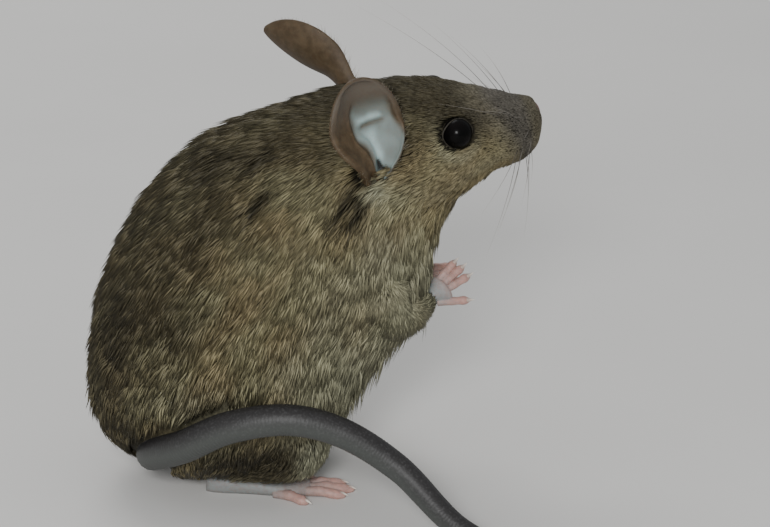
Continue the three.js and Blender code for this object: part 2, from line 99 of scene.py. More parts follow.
# partings that show the dark skin, painted darker still as shade; patches of painted shade on the coat over
# the haunch above the foot and below the right ear; and pale hair over the shin, below the ear and over the
# tail: centre and reach, with a strength for the pale ones
PARTINGS = (
    ((2.6, -9.8, 35.4), (0.75, 3, 0.5)),
    ((3.9, -9.8, 34.2), (0.8, 3, 0.55)),
    ((-23.5, -4.0, 20.7), (0.7, 3, 1.6)),
    ((-11.8, -3.5, 40.2), (0.9, 3, 0.5)),
    ((-6.9, -6.0, 41.0), (0.7, 3, 0.45)),
    ((-7.4, -9.0, 36.5), (0.6, 3, 0.8)),
)
SHADED = (((-8.5, -12, 5.5), (7, 6, 3.6)), ((4.0, -9.6, 36.6), (1.5, 3, 1.3)))
PALE_PATCHES = (
    ((-0.5, -12.5, 5.6), (3, 6, 3), 1.4),
    ((6.6, -9.5, 37.0), (1.9, 3, 1.2), 1.1),
    ((-14.5, -13, 13.5), (5, 7, 2.6), 0.5),
)
# the eye's ball, the ring of pale coat round it, the lids, and the way that the eye faces
EYE_RADIUS = 1.8
EYE_RING = 2.9
LID_RADIUS, LID_THICK, LID_FORWARD = 1.87, 0.1, 0.1
EYE_AXIS = (0.28, 0.92, 0.22)
# the ears' size, outline, tuck at the root, filled floor of the cup, and points up and across
EAR_LENGTH, EAR_HALF, EAR_THICK = 14.4, 5.3, 0.6
EAR_WAIST, EAR_WIDEST, EAR_BEND = 0.42, 0.58, 1.2
EAR_TUCK, EAR_TUCK_TO = 1.3, 0.4
EAR_FLOOR, EAR_FLOOR_TO, EAR_FILL = 2.2, 0.62, 0.75
EAR_ROWS, EAR_COLUMNS = 76, 56
# the cup's back and front edges: heights up the ear, and the place across it at each
CUP_BACK = ([0.05, 0.15, 0.3, 0.5, 0.75], [0.12, 0.03, -0.13, -0.27, -0.25])
CUP_FRONT = ([0.05, 0.3, 0.5, 0.75], [1.1, 0.95, 0.88, 0.7])
# ears: the base, the ways that the ear points and faces, the curl of its root and of its tip, and how
# sharp the tip is
EARS = {
    "right": ((6, -8.25, 37.25), (-0.15, 0.1, 1), (0.3, -0.9, 0.35), 2.3, 0.7, 0.0),
    "left": ((7.5, 4.75, 44), (-0.62, 0.7, 0.33), (0.75, 0.42, 0.5), 1.6, 1.1, 0.2),
}
# the tail: radius at its root and tip, the power by which it tapers, and the width of a ring of scales
TAIL_ROOT, TAIL_TIP, TAIL_FALLOFF, TAIL_RING = 2.0, 0.45, 2.25, 0.4
TAIL_PATH = np.array([
    [-13.5, 0.5, 5.25],
    [-18, -2.25, 4],
    [-20, -7, 5.5],
    [-17, -13, 8.75],
    [-12, -16.5, 12.25],
    [-5.5, -18.5, 13.5],
    [0.25, -19.5, 12],
    [6.5, -21.5, 8],
    [12.75, -27, 2.35],
    [19.5, -32.5, 0.83],
    [28, -36, 0.62],
    [37.5, -37.5, 0.36],
])
# limbs: X, Y and Z of the middle, half the width, half the depth
HIND_LEG = np.array([
    [-8.5, 7.5, 12, 5.0, 6.0],
    [-5.0, 9.2, 9.8, 4.4, 5.6],
    [-5.0, 9.8, 6.6, 3.7, 5.2],
    [-8.8, 9.2, 4.4, 2.6, 2.8],
    [-12.4, 8.4, 2.9, 1.8, 2.0],
])
FORELEGS = {
    "right": np.array([
        [5.5, -8.2, 25.0, 3.2, 3.8],
        [8.4, -8.8, 21.9, 2.5, 2.7],
        [11.0, -7.4, 21.4, 1.8, 1.9],
        [13.6, -5.4, 22.4, 1.15, 1.2],
    ]),
    "left": np.array([
        [5.5, 8.2, 25.0, 3.2, 3.8],
        [8.4, 8.8, 21.4, 2.5, 2.7],
        [11.0, 7.4, 20.4, 1.8, 1.9],
        [13.6, 5.4, 20.8, 1.15, 1.2],
    ]),
}
# place on the body whose marks a leg takes, and the depth of its coat
HIND_PLACE, HIND_DEPTH = 0.1, 0.7
FORE_PLACE, FORE_DEPTH = 0.42, 0.55
HEEL, HEEL_HALF, HEEL_HIGH = (-13.8, 6.3), 1.25, 2.7
BALL, BALL_HALF, BALL_HIGH = (-1.5, 9.1), 2.2, 2.0
TOE_RADIUS, TOE_HEIGHT, TOE_SUNK, SOLE_HEIGHT = 0.68, 0.72, 0.5, 0.8
# toes: place across the foot, distance behind its front, length, turn in degrees
HIND_TOES = (
    (-1.8, 2.4, 3.1, -23),
    (-1.05, 0.5, 4.5, -14),
    (0, 0, 4.9, -6),
    (1.05, 0.5, 4.5, 3),
    (1.85, 3.2, 3.5, 27),
)
# forepaws: wrist, palm, the way that the back of the hand faces
FOREPAWS = {
    "right": ((13.5, -5.5, 22.4), (15.3, -5.3, 23.7), (-0.25, -0.9, 0.35)),
    "left": ((13.5, 5.5, 20.8), (15.6, 5.2, 21.2), (-0.25, 0.9, 0.35)),
}
WRIST_HALF, PALM_HALF, PALM_THICK = 1.0, 1.65, 0.85
# fingers: place across the hand, distance behind the palm's end, length, turn in degrees
FINGERS = ((-1.05, 0, 3.0, -10), (-0.38, 0, 3.3, -3), (0.36, 0, 3.2, 6), (1.2, 1.1, 3.0, 34))
FINGER_RADIUS, FINGER_SUNK, FINGER_DROOP = 0.54, 0.6, 0.2
CLAW_LENGTH, CLAW_RADIUS = 1.0, 0.28
LOWEST_LEG_HAIR, LEG_TUFT_WIDTH, LEG_HAIR_LENGTH = 2.3, 0.2, 2.2
# how the coat changes from rump to nose: places along the body, and its depth, the hair's length and width
# and how crowded it is at each
COAT_DEPTH = ([0, 0.42, 0.55, 0.66, 0.8, 0.9, 0.96, 1], [1.6, 1.6, 1.3, 0.95, 0.65, 0.35, 0.12, 0])
HAIR_LENGTH = ([0, 0.45, 0.58, 0.7, 0.85, 0.95], [4.2, 4.0, 3.0, 2.0, 1.0, 0.5])
HAIR_WIDTH = ([0, 0.5, 0.7, 0.9, 0.95], [1, 0.95, 0.7, 0.45, 0.34])
HAIR_CROWD = ([0, 0.56, 0.7, 0.85, 0.97], [1, 1.0, 1.4, 2.8, 5.0])
# the length that the coat's length is set against, how far a tuft is sunk in the skin, the share of tufts
# that a parting takes away, the nose pad's edge for them, and how far a root may stand in an obstacle
FULL_LENGTH, TUFT_SUNK, PARTING_LOSS, PAD_EDGE, ROOT_SLACK = 4.0, 0.1, 0.93, 0.25, 0.15
TUFT_POINTS = 7
LEG_HAIR_FALL = (-0.25, 0, -1.0)
# whiskers: rows and radius, place of the first column along the body and the step to the next, angle of the
# top row and the turn to the next, length in the first column and how much longer each next one is
WHISKER_ROWS, WHISKER_RADIUS = 5, 0.04
WHISKER_FRONT, WHISKER_STEP = 0.93, 0.018
WHISKER_TOP, WHISKER_TURN = math.radians(38), math.radians(15)
WHISKER_LENGTH, WHISKER_GROWTH = 7, 2.3
EAR_HAIRS, EAR_HAIR_RADIUS = 240, 0.022
SIDES = (("right", -1), ("left", 1))
# rings along and points round each part of the skin
BODY_RINGS, BODY_SIDES = (100, 60, 110), 168
LEG_RINGS, LEG_SIDES = 40, 36
FOOT_RINGS, FOOT_SIDES = 52, 32
PAW_RINGS, PAW_SIDES = 34, 26
TAIL_RINGS, TAIL_SIDES = 640, 16
LID_RINGS, LID_SIDES = 72, 12
EYE_RINGS, EYE_SIDES = 40, 56
DIGIT_SIDES = 14

# the camera stands this far round and above the animal, in degrees, and this far from the point that it
# looks at
CAMERA_AZIMUTH, CAMERA_ELEVATION, CAMERA_DISTANCE = -10, 20, 350
CAMERA_TARGET = (8.3, -3.0, 26.0)
CAMERA_LENS, CAMERA_SENSOR = 139.07, 36
# lights: name, place from the point that the camera looks at and width, both in metres, and share of the
# main light's power
LIGHTS = (
    ("Key", (-0.15, -0.5, 0.25), 0.15, 1.15),
    ("Back", (-0.1, 0.4, 0.42), 0.3, 0.55),
)
SKY = (0.86, 0.88, 0.9, 1)

# ---------------------------------------------------------------- curves and fields


def unit(v):
    """Vectors along the last axis, scaled to length 1."""
    return v / np.maximum(np.linalg.norm(v, axis=-1, keepdims=True), 1e-9)


def smooth(t):
    """3t squared less 2t cubed, with t held between 0 and 1."""
    s = np.clip(t, 0, 1)
    return s * s * (3 - 2 * s)


def dome(t, share):
    """Quarter circle that rises from 0 to 1 over the first share of t, then stays 1."""
    return np.sqrt(np.clip(1 - np.clip(1 - t / share, 0, None) ** 2, 0, 1))


def bell(x, reach):
    """1 at 0, falling to both sides over a reach."""
    return np.exp(-((x / reach) ** 2))


def moved(point, *moves):
    """A point moved along each axis by its size."""
    for axis, size in moves:
        point = point + axis * size[..., None]
    return point


def spline(rows, t):
    """Catmull-Rom through equally spaced rows at t (0 to 1), with the end slopes carried on."""
    rows = np.vstack([2 * rows[0] - rows[1], rows, 2 * rows[-1] - rows[-2]])
    place = np.clip(t, 0, 1) * (len(rows) - 3)
    i = np.minimum(place.astype(int), len(rows) - 4)
    f = (place - i)[..., None]
    p, a, b, n = (rows[i + k] for k in range(4))
    return a + 0.5 * f * (b - p + f * (2 * p - 5 * a + 4 * b - n + f * (3 * (a - b) + n - p)))


def chordal(points, t):
    """Centripetal Catmull-Rom through points at t: each span is a cubic whose tangents weigh the
    neighbouring spans by the square root of their length."""
    pts = np.vstack([2 * points[0] - points[1], points, 2 * points[-1] - points[-2]])
    place = np.clip(t, 0, 1) * (len(points) - 1)
    i = np.minimum(place.astype(int), len(points) - 2)
    f = (place - i)[..., None]
    p0, p1, p2, p3 = (pts[i + k] for k in range(4))
    d0, d1, d2 = (
        np.sqrt(np.linalg.norm(b - a, axis=-1, keepdims=True))
        for a, b in ((p0, p1), (p1, p2), (p2, p3))
    )
    m1 = ((p1 - p0) / d0 - (p2 - p0) / (d0 + d1) + (p2 - p1) / d1) * d1
    m2 = ((p2 - p1) / d1 - (p3 - p1) / (d1 + d2) + (p3 - p2) / d2) * d1
    return p1 + f * (m1 + f * (-3 * p1 + 3 * p2 - 2 * m1 - m2 + f * (2 * p1 - 2 * p2 + m1 + m2)))


def turn_head(p, share):
    """Rolls points about X, then yaws them about Z, both by a share of the head's turn, at the neck."""
    q = p - NECK_PIVOT
    r, w = HEAD_ROLL * share, HEAD_YAW * share
    y = q[..., 1] * np.cos(r) - q[..., 2] * np.sin(r)
    z = q[..., 1] * np.sin(r) + q[..., 2] * np.cos(r)
    x = q[..., 0]
    return np.stack([x * np.cos(w) - y * np.sin(w), x * np.sin(w) + y * np.cos(w), z], -1) + NECK_PIVOT


def body_point(t, angle, grow):
    """Point on the body: an oval round the middle of back and belly at t, plus the swellings, grown
    outwards, then turned with the head."""
    t, angle, grow = np.broadcast_arrays(t, angle, grow)
    s = spline(BODY, t)
    zero = np.zeros(t.shape)
    back = np.stack([s[..., 0], zero, s[..., 1]], -1)
    belly = np.stack([s[..., 2], zero, s[..., 3]], -1)
    centre = (back + belly) / 2
    closing = np.minimum(dome(t, RUMP_DOME), dome(1 - t, NOSE_DOME))[..., None]
    rounded = [np.sign(v) * np.abs(v) ** 0.92 for v in (np.cos(angle), np.sin(angle))]
    offset = (back - centre) * rounded[1][..., None]
    offset = offset + np.stack([zero, rounded[0] * s[..., 4], zero], -1)
    point = centre + offset * closing
    swell = zero
    for at, reach, height in SWELLINGS:
        away = (point * [1, 0, 1] + np.abs(point) * [0, 1, 0] - at) / reach
        swell = swell + height * np.exp(-(away**2).sum(-1))
    point = point + unit(offset) * (swell * closing[..., 0] + grow)[..., None]
    point[..., 2] = np.maximum(point[..., 2], FLOOR + BODY_CLEARANCE)
    return turn_head(point, smooth((t - TURN_FROM) / (TURN_TO - TURN_FROM)))


def limb_point(limb, t, angle, grow):
    """Point on a limb: an oval of changing half width and depth carried along the limb's middle."""
    t, angle, grow = np.broadcast_arrays(t, angle, grow)
    centre = chordal(limb[:, :3], t)
    along = unit(chordal(limb[:, :3], t + 1e-3) - chordal(limb[:, :3], t - 1e-3))
    out = unit(np.array([0, 1.0, 0]) - along * along[..., 1:2])
    ends = np.minimum(dome(t, LIMB_DOME), dome(1 - t, LIMB_DOME))
    wide, deep = np.moveaxis(spline(limb[:, 3:], t) * ends[..., None] + grow[..., None], -1, 0)
    point = moved(centre, (out, wide * np.cos(angle)), (np.cross(along, out), deep * np.sin(angle)))
    point[..., 2] = np.maximum(point[..., 2], FLOOR + LIMB_CLEARANCE)
    return point


def coat_depth(t):
    """Depth of the coat along the body: deep on the trunk, thin on the head, none on the nose."""
    return np.interp(t, *COAT_DEPTH)


def noise(p, scale, seed, waves=22):
    """Smooth noise about 0, mostly within 1.5 of it: sine waves of random heading, about scale long."""
    rng = np.random.default_rng(seed)
    heading = unit(rng.normal(size=(waves, 3))) * (2 * math.pi / scale) * rng.uniform(0.6, 1.5, (waves, 1))
    return np.sin(p @ heading.T + rng.uniform(0, 2 * math.pi, waves)).sum(-1) / math.sqrt(waves)


MARKS = ("dark", "pale", "grey", "warm")


def blob(p, at, reach):
    """1 at a place, falling to 0 over a reach along X, Y and Z."""
    return np.exp(-(((p - np.array(at)) / np.array(reach)) ** 2).sum(-1))


def parting(p):
    """1 in the middle of a parting, 0 away from them all."""
    return np.clip(1.4 * sum(blob(p, *spot) for spot in PARTINGS), 0, 1)


def parted(root, middle, tip):
    """How far a tuft crosses a parting: the most over five places along it."""
    places = (root, (root + middle) / 2, middle, (middle + tip) / 2, tip)
    return np.maximum.reduce([parting(p) for p in places])


def markings(t, angle, p):
    """Shares of the coat's colours: dark over the back, rump and crown, pale below, grey on the muzzle,
    and russet in uneven patches. All are stirred by smooth noise. Dark and russet also carry painted
    shade: under the head and throat, over the haunch above the foot, below the right ear and towards the
    floor."""
    up = np.sin(angle) + 0.15 * noise(p, 9, 11)
    head = smooth((t - 0.56) / 0.1)
    dark = smooth((up - 0.05) / 0.85) * 0.85 + 0.3 * head * smooth((up - 0.2) / 0.5)
    dark = dark + 0.12 * smooth((0.12 - t) / 0.1) * smooth((up + 0.3) / 0.5)
    dark = dark + 0.2 * smooth(noise(p, 6, 12) - 0.6)
    # painted shade: the head darker towards its underside
    dark = dark + 0.18 * head * smooth((0.4 - up) / 0.8)
    lit = np.clip(sum(strength * blob(p, at, reach) for at, reach, strength in PALE_PATCHES), 0, 1)
    # painted shade: the coat goes dark over the haunch above the foot and below the right ear, less so under
    # the pale patches
    dark = (dark + 1.5 * sum(blob(p, *spot) for spot in SHADED)) * (1 - 0.9 * lit)
    pale = smooth((0.2 - up) / 1.1) * (0.8 - 0.45 * smooth((t - 0.43) / 0.12))
    pale = pale + 0.1 * smooth((t - 0.64) / 0.1) * smooth((0.5 - up) / 0.8)
    # painted shade: the throat less pale on its underside
    pale = pale - 0.45 * smooth((t - 0.46) / 0.1) * smooth((-0.3 - up) / 0.4)
    pale = pale + lit
    for centre, _ in EYES.values():
        pale = pale + 0.4 * bell(np.linalg.norm(p - centre, axis=-1) - EYE_RING, 0.7)
    grey = smooth((t - 0.815 + 0.04 * up) / 0.1) * (1 - 0.4 * smooth((t - 0.93) / 0.04))
    # russet in uneven patches, and browner towards the floor: partly the fur's own brown, partly painted
    # shade low on the haunch
    warm = smooth(0.5 + 0.45 * noise(p, 8, 13)) * (1 - 0.6 * grey) + 0.8 * smooth((8 - p[..., 2]) / 6)
    return [np.clip(m, 0, 1) for m in (dark * (1 - grey), pale * (1 - grey), grey, warm)]


EYES = {
    name: (turn_head(np.array([EYE_AT[0], side * EYE_AT[1], EYE_AT[2]]), 1.0), side) for name, side in SIDES
}
SHIFT = np.array((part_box("eye_right")[0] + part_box("eye_right")[1]) / 2) / MM - EYES["right"][0]

# ---------------------------------------------------------------- meshes


def mesh_object(name, verts, faces, material, attributes=(), corner_uv=None, smooth_faces=True):
    """An object from arrays of points in millimetres and of faces with equal numbers of corners. The
    material may be a pair: a list of materials, and the one of them that the faces take."""
    mesh = bpy.data.meshes.new(name)
    count, corners = faces.shape
    mesh.vertices.add(len(verts))
    mesh.vertices.foreach_set("co", ((verts + SHIFT) * MM).astype(np.float32).ravel())
    mesh.loops.add(faces.size)
    mesh.loops.foreach_set("vertex_index", faces.astype(np.int32).ravel())
    mesh.polygons.add(count)
    mesh.polygons.foreach_set("loop_start", np.arange(0, faces.size, corners, dtype=np.int32))
    mesh.update(calc_edges=True)
    if smooth_faces:
        mesh.shade_smooth()
    for key, values in dict(attributes).items():
        layer = mesh.attributes.new(key, "FLOAT", "POINT")
        layer.data.foreach_set("value", np.ascontiguousarray(values, dtype=np.float32).ravel())
    if corner_uv is not None:
        layer = mesh.uv_layers.new(name="OFBake")
        layer.data.foreach_set("uv", corner_uv[faces.ravel()].astype(np.float32).ravel())
    choices, chosen = material if isinstance(material, tuple) else ([material], 0)
    for choice in choices:
        mesh.materials.append(choice)
    mesh.polygons.foreach_set("material_index", np.full(count, chosen, dtype=np.int32))
    piece = bpy.data.objects.new(name, mesh)
    bpy.context.scene.collection.objects.link(piece)
    return piece


def tube_faces(rings, sides):
    """Triangles of rings joined one to the next and closed at both ends by a hub: the last two points."""
    i, j = np.meshgrid(np.arange(rings - 1), np.arange(sides), indexing="ij")
    k = (j + 1) % sides
    a, b, c, d = i * sides + j, i * sides + k, (i + 1) * sides + k, (i + 1) * sides + j
    wall = np.concatenate([np.stack([a, b, c], -1).reshape(-1, 3), np.stack([a, c, d], -1).reshape(-1, 3)])
    j = np.arange(sides)
    k, last, hub = (j + 1) % sides, (rings - 1) * sides, rings * sides
    low = np.stack([np.full(sides, hub), k, j], -1)
    high = np.stack([np.full(sides, hub + 1), last + j, last + k], -1)
    return np.concatenate([wall, low, high])


def facing_out(verts, faces):
    """The faces, turned round if the signed volume that they enclose is negative."""
    a, b, c = (verts[faces[:, k]] for k in range(3))
    return faces if (a * np.cross(b, c)).sum() > 0 else faces[:, ::-1]


def closed_tube(name, rings, material, **attributes):
    """A closed surface over rings of points, its ends closed at the middle of the end rings."""
    count, sides = rings.shape[:2]
    verts = np.concatenate([rings.reshape(-1, 3), rings[0].mean(0)[None], rings[-1].mean(0)[None]])
    faces = facing_out(verts, tube_faces(count, sides))
    layers = {"known": np.ones(len(verts))}
    for key, values in attributes.items():
        grid = np.broadcast_to(values, (count, sides)).astype(float)
        layers[key] = np.concatenate([grid.ravel(), [grid[0].mean(), grid[-1].mean()]])
    return mesh_object(name, verts, faces, material, layers)


def circle(sides, start=0.0):
    """Angles of a ring's points, as a row."""
    return ((np.arange(sides) + start) * 2 * math.pi / sides)[None]


# ---------------------------------------------------------------- materials


# colours that the sidebar doesn't offer
HAIR_ROOT, HAIR_TIP = (0.045, 0.041, 0.03), (0.03, 0.025, 0.018)
# painted shade: near black for the skin's hollows and partings, the nostrils and the ear's canal; the ear's
# cup takes CUP_SHADE where its painted highlight doesn't fall
SKIN_HOLLOW_SHADE, NOSE_HOLLOW_SHADE, EAR_CANAL_SHADE = (0.012, 0.011, 0.009), (0.02, 0.01, 0.01), (0.02, 0.02, 0.018)
NOSE_SHADE, CUP_SHADE, CUP_ROSE = (0.13, 0.085, 0.075), (0.14, 0.165, 0.152), (0.22, 0.14, 0.135)
EAR_BROWNS = (0.053, 0.034, 0.016), (0.085, 0.058, 0.031)
EAR_TIP, CUP_MOTTLE = (0.085, 0.07, 0.054), (0.16, 0.165, 0.155)
# the second colour is painted shade in the grooves between the tail's rings
FOOT_MOTTLE, TAIL_GROOVE_SHADE, TAIL_MOTTLE = (0.2, 0.13, 0.12), (0.018, 0.017, 0.017), (0.12, 0.12, 0.12)
LIDS = (0.014, 0.012, 0.009), (0.034, 0.029, 0.021)
EYE_BLACKS = (0.002, 0.002, 0.002), (0.005, 0.004, 0.004)
FLOOR_GREYS = (0.62, 0.61, 0.59), (0.66, 0.65, 0.63)
FLESH_SCATTER = (1.0, 0.35, 0.2)


class Value:
    """A number socket that writes Math nodes when it is used in an expression."""

    def __init__(self, tree, socket):
        self.tree, self.socket = tree, socket

    def math(self, operation, *others):
        node = self.tree.nodes.new("ShaderNodeMath")
        node.operation = operation
        for place, value in enumerate(others):
            if isinstance(value, Value):
                self.tree.links.new(value.socket, node.inputs[place])
            else:
                node.inputs[place].default_value = value
        return Value(self.tree, node.outputs[0])

    def __add__(self, other):
        return self.math("ADD", self, other)

    def __rsub__(self, other):
        return self.math("SUBTRACT", other, self)

    def __mul__(self, other):
        return self.math("MULTIPLY", self, other)

    def sin(self):
        return self.math("SINE", self)

    __radd__, __rmul__ = __add__, __mul__

    def ramp(self, low, high):
        """0 below low and 1 above high, smooth between."""
        node = self.tree.nodes.new("ShaderNodeMapRange")
        node.interpolation_type = "SMOOTHSTEP"
        self.tree.links.new(self.socket, node.inputs["Value"])
        node.inputs["From Min"].default_value = low
        node.inputs["From Max"].default_value = high
        return Value(self.tree, node.outputs["Result"])


class Finish:
    """A material under construction, with one method for any node."""

    def __init__(self, name, **constants):
        self.material = bpy.data.materials.new(name)
        self.material.use_nodes = True
        self.tree = self.material.node_tree
        self.shader = self.tree.nodes["Principled BSDF"]
        for socket, value in constants.items():
            self.shader.inputs[socket.replace("_", " ")].default_value = value

    def node(self, kind, output=0, settings=(), **sockets):
        node = self.tree.nodes.new(kind)
        for key, value in dict(settings).items():
            setattr(node, key, value)
        for key, value in sockets.items():
            index = int(key[1:]) if key[0] == "i" and key[1:].isdigit() else key.replace("_", " ")
            self.put(node.inputs[index], value)
        return Value(self.tree, node.outputs[output])

    def put(self, socket, value):
        if isinstance(value, Value):
            self.tree.links.new(value.socket, socket)
        else:
            socket.default_value = value

    def attribute(self, name):
        return self.node("ShaderNodeAttribute", "Fac", {"attribute_name": name})

    def noise(self, scale, detail=3.0):
        """Noise on Object coordinates, whose grain is about 1 / scale metres."""
        where = self.node("ShaderNodeTexCoord", "Object")
        return self.node("ShaderNodeTexNoise", "Fac", Vector=where, Scale=scale, Detail=detail)

    def mix(self, share, a, b):
        def colour(c):
            return c if isinstance(c, Value) else (*c, 1.0)

        return self.node("ShaderNodeMix", 2, {"data_type": "RGBA"}, i0=share, i6=colour(a), i7=colour(b))

    def bump(self, height, distance, strength=1.0):
        return self.node("ShaderNodeBump", Height=height, Distance=distance, Strength=strength)

    def finish(self, **sockets):
        for key, value in sockets.items():
            self.put(self.shader.inputs[key.replace("_", " ")], value)
        return self.material


def colours():
    """The colours set in the sidebar."""
    return bpy.context.scene.mouse_colours


def coat_colour(f, lightness):
    """The coat's colour from its marks: tan or russet, going dark, pale or grey, then lightened or
    darkened."""
    c = colours()
    hair = f.mix(f.attribute("warm") * 0.7, tuple(c.tan), tuple(c.russet))
    hair = f.mix(f.attribute("pale"), hair, tuple(c.pale))
    hair = f.mix(f.attribute("dark"), hair, tuple(c.dark))
    hair = f.mix(f.attribute("grey"), hair, tuple(c.grey))
    return f.node("ShaderNodeVectorMath", 0, {"operation": "SCALE"}, i0=hair, Scale=lightness)


def tuft_finish():
    """Hair: dark at the root, the coat's colour above it, and dark again at the tip of some tufts."""
    f = Finish("Mouse hair", Roughness=0.55, Specular_IOR_Level=0.25)
    along, shade, tipped = f.attribute("along"), f.attribute("shade"), f.attribute("tipped")
    body = f.mix(along.ramp(0.05, 0.45), HAIR_ROOT, coat_colour(f, shade))
    colour = f.mix(along.ramp(0.62, 0.95) * tipped * 0.8, body, HAIR_TIP)
    return f.finish(Base_Color=colour)


def coat_skin_finish():
    """Skin under the coat: short hair as fine streaks of bump and tone, bare and pink on the nose. The
    furred skin is painted well darker than the hair, as the shade deep in the coat, less so where the hair
    is short.
    """
    f = Finish("Mouse coat skin", Specular_IOR_Level=0.2)
    streak = f.noise(2600, 3)
    short = f.attribute("along").ramp(0.86, 0.95) * 0.35 + 0.65
    # painted shade: the skin takes the coat's colour at a fifth to two thirds of its lightness, as the shade
    # deep in the coat, lighter where the hair is short
    fur = coat_colour(f, (streak.ramp(0.3, 0.75) * 0.4 + 0.28) * short)
    nose = f.attribute("along").ramp(0.955, 0.985) * f.attribute("nosed")
    pink = f.mix(f.noise(2500, 2).ramp(0.35, 0.7) * 0.6, tuple(colours().nose), NOSE_SHADE)
    # painted shade: the nostrils, the groove under the nose and the line of the mouth go near black, and so
    # do partings, where the dark skin shows
    pink = f.mix(f.attribute("hollow"), pink, NOSE_HOLLOW_SHADE)
    fur = f.mix(f.attribute("hollow"), fur, SKIN_HOLLOW_SHADE)
    return f.finish(
        Base_Color=f.mix(nose, fur, pink),
        Roughness=0.75 - nose * 0.35,
        Normal=f.bump(streak, 0.00012, 0.7),
    )


def ear_finish():
    """Thin ear skin: mottled brown, greyer inside the tip, pale in the cup with a rosy patch, a painted
    highlight over the middle of the cup, and painted shade in the fold and the canal."""
    f = Finish("Mouse ear skin", Specular_IOR_Level=0.3, Subsurface_Weight=0.12, Subsurface_Scale=0.0005)
    f.shader.inputs["Subsurface Radius"].default_value = FLESH_SCATTER
    mottle = f.noise(1100, 4)
    brown = f.mix(mottle.ramp(0.3, 0.7), *EAR_BROWNS)
    brown = f.mix(f.attribute("along").ramp(0.55, 0.95) * f.attribute("inner"), brown, EAR_TIP)
    # painted highlight: the cup is grey where it doesn't fall and pale blue where it does
    cup = f.mix(f.attribute("cup_highlight"), CUP_SHADE, tuple(colours().ear_cup_and_sheen))
    cup = f.mix(f.attribute("rosy") * 0.7, cup, CUP_ROSE)
    colour = f.mix(f.attribute("cup"), brown, f.mix(mottle.ramp(0.35, 0.75) * 0.3, cup, CUP_MOTTLE))
    return f.finish(
        Base_Color=f.mix(f.attribute("hollow"), colour, EAR_CANAL_SHADE),
        Roughness=0.5 + mottle * 0.2,
        Normal=f.bump(f.noise(3500, 3), 0.00006, 0.6),
    )


def foot_finish():
    """Thin skin of the feet: pale grey on the back of the foot, pink on the digits, finely folded."""
    f = Finish("Mouse foot skin", Specular_IOR_Level=0.4, Subsurface_Weight=0.2, Subsurface_Scale=0.0007)
    f.shader.inputs["Subsurface Radius"].default_value = FLESH_SCATTER
    c = colours()
    fine = f.noise(2200, 3)
    colour = f.mix(f.attribute("along").ramp(0.35, 0.95), tuple(c.foot), tuple(c.toe))
    colour = f.mix(fine.ramp(0.35, 0.75) * 0.4, colour, FOOT_MOTTLE)
    folds = f.noise(5200, 2)
    return f.finish(Base_Color=colour, Roughness=0.42 + fine * 0.25, Normal=f.bump(folds, 0.00008, 0.6))


def tail_finish():
    """Ringed scales: grey, dark above and paler below, with painted shade in the groove at each ring."""
    f = Finish("Mouse tail skin", Specular_IOR_Level=0.35)
    c = colours()
    up = f.attribute("around") * (2 * math.pi)
    dark = up.sin().ramp(-0.35, 0.75)
    scale = f.noise(3800, 2)
    colour = f.mix(dark, tuple(c.tail_under), tuple(c.tail_top))
    # painted shade in the groove at each ring
    colour = f.mix(f.attribute("hollow") * 0.12, colour, TAIL_GROOVE_SHADE)
    colour = f.mix(scale.ramp(0.45, 0.8) * 0.25, colour, TAIL_MOTTLE)
    return f.finish(Base_Color=colour, Roughness=0.38 + scale * 0.25, Normal=f.bump(scale, 0.00005, 0.6))


def lid_finish():
    """Dark bare skin of the lids, finely uneven."""
    f = Finish("Mouse lid skin", Roughness=0.6, Specular_IOR_Level=0.25)
    fine = f.noise(4000, 2)
    return f.finish(
        Base_Color=f.mix(fine.ramp(0.3, 0.7), *LIDS),
        Normal=f.bump(fine, 0.00004, 0.5),
    )


def eye_finish():
    """Wet black eye, very slightly brown in patches, under a thin clear coat."""
    f = Finish("Mouse eye", Roughness=0.3, Specular_IOR_Level=0.03, Coat_Weight=0.07, Coat_Roughness=0.09)
    return f.finish(Base_Color=f.mix(f.noise(700, 2).ramp(0.3, 0.8), *EYE_BLACKS))


def horn_finish(name, colour, tip, roughness):
    """Horn or hair that changes colour from its root to its tip."""
    f = Finish(name, Roughness=roughness, Specular_IOR_Level=0.5)
    return f.finish(Base_Color=f.mix(f.attribute("along").ramp(0.1, 0.9), colour, tip))


# ---------------------------------------------------------------- the skin


def hair_streaks(p):
    """A little unevenness of the skin's surface, so that it isn't smooth where the coat is thin."""
    return 0.05 * noise(p, 1.3, 21) + 0.08 * noise(p, 4.0, 22)


def head_features(t, angle, p):
    """Skin heights of the face and how hollow each place is: eye sockets, nostrils, the nose's pad, the
    groove under it and the line of the mouth. The hollow share is painted near black as shade."""
    height = np.zeros(p.shape[:-1])
    hollow = np.zeros(p.shape[:-1])
    for centre, _ in EYES.values():
        away = np.linalg.norm(p - centre, axis=-1)
        height = height - SOCKET_DEPTH * np.exp(-((away / SOCKET_REACH) ** 4))
    for side in (-1, 1):
        nostril = turn_head(np.array(NOSTRIL_AT) * [1, side, 1], 1.0)
        dent = blob(p, nostril, NOSTRIL_REACH)
        height, hollow = height - 0.5 * dent, hollow + 1.2 * dent
    under = np.abs(np.angle(np.exp(1j * (angle + math.pi / 2))))
    groove = bell(under, 0.13) * smooth((t - 0.955) / 0.02)
    mouth = bell(under - 0.62, 0.07) * smooth((t - 0.84) / 0.03) * smooth((0.985 - t) / 0.02)
    height = height - 0.22 * groove - 0.3 * mouth + 0.18 * nose_pad(p)
    return height, np.clip(hollow + 0.5 * groove + 0.7 * mouth, 0, 1)


def nose_pad(p):
    """1 on the bare nose, which narrows downwards, and 0 away from it."""
    away = (p - turn_head(np.array(NOSE_AT), 1.0)) / NOSE_REACH
    away[..., 1] *= 1.1 - 0.4 * np.clip(away[..., 2], -1.2, 0.8)
    return np.exp(-((away**2).sum(-1) ** 2))


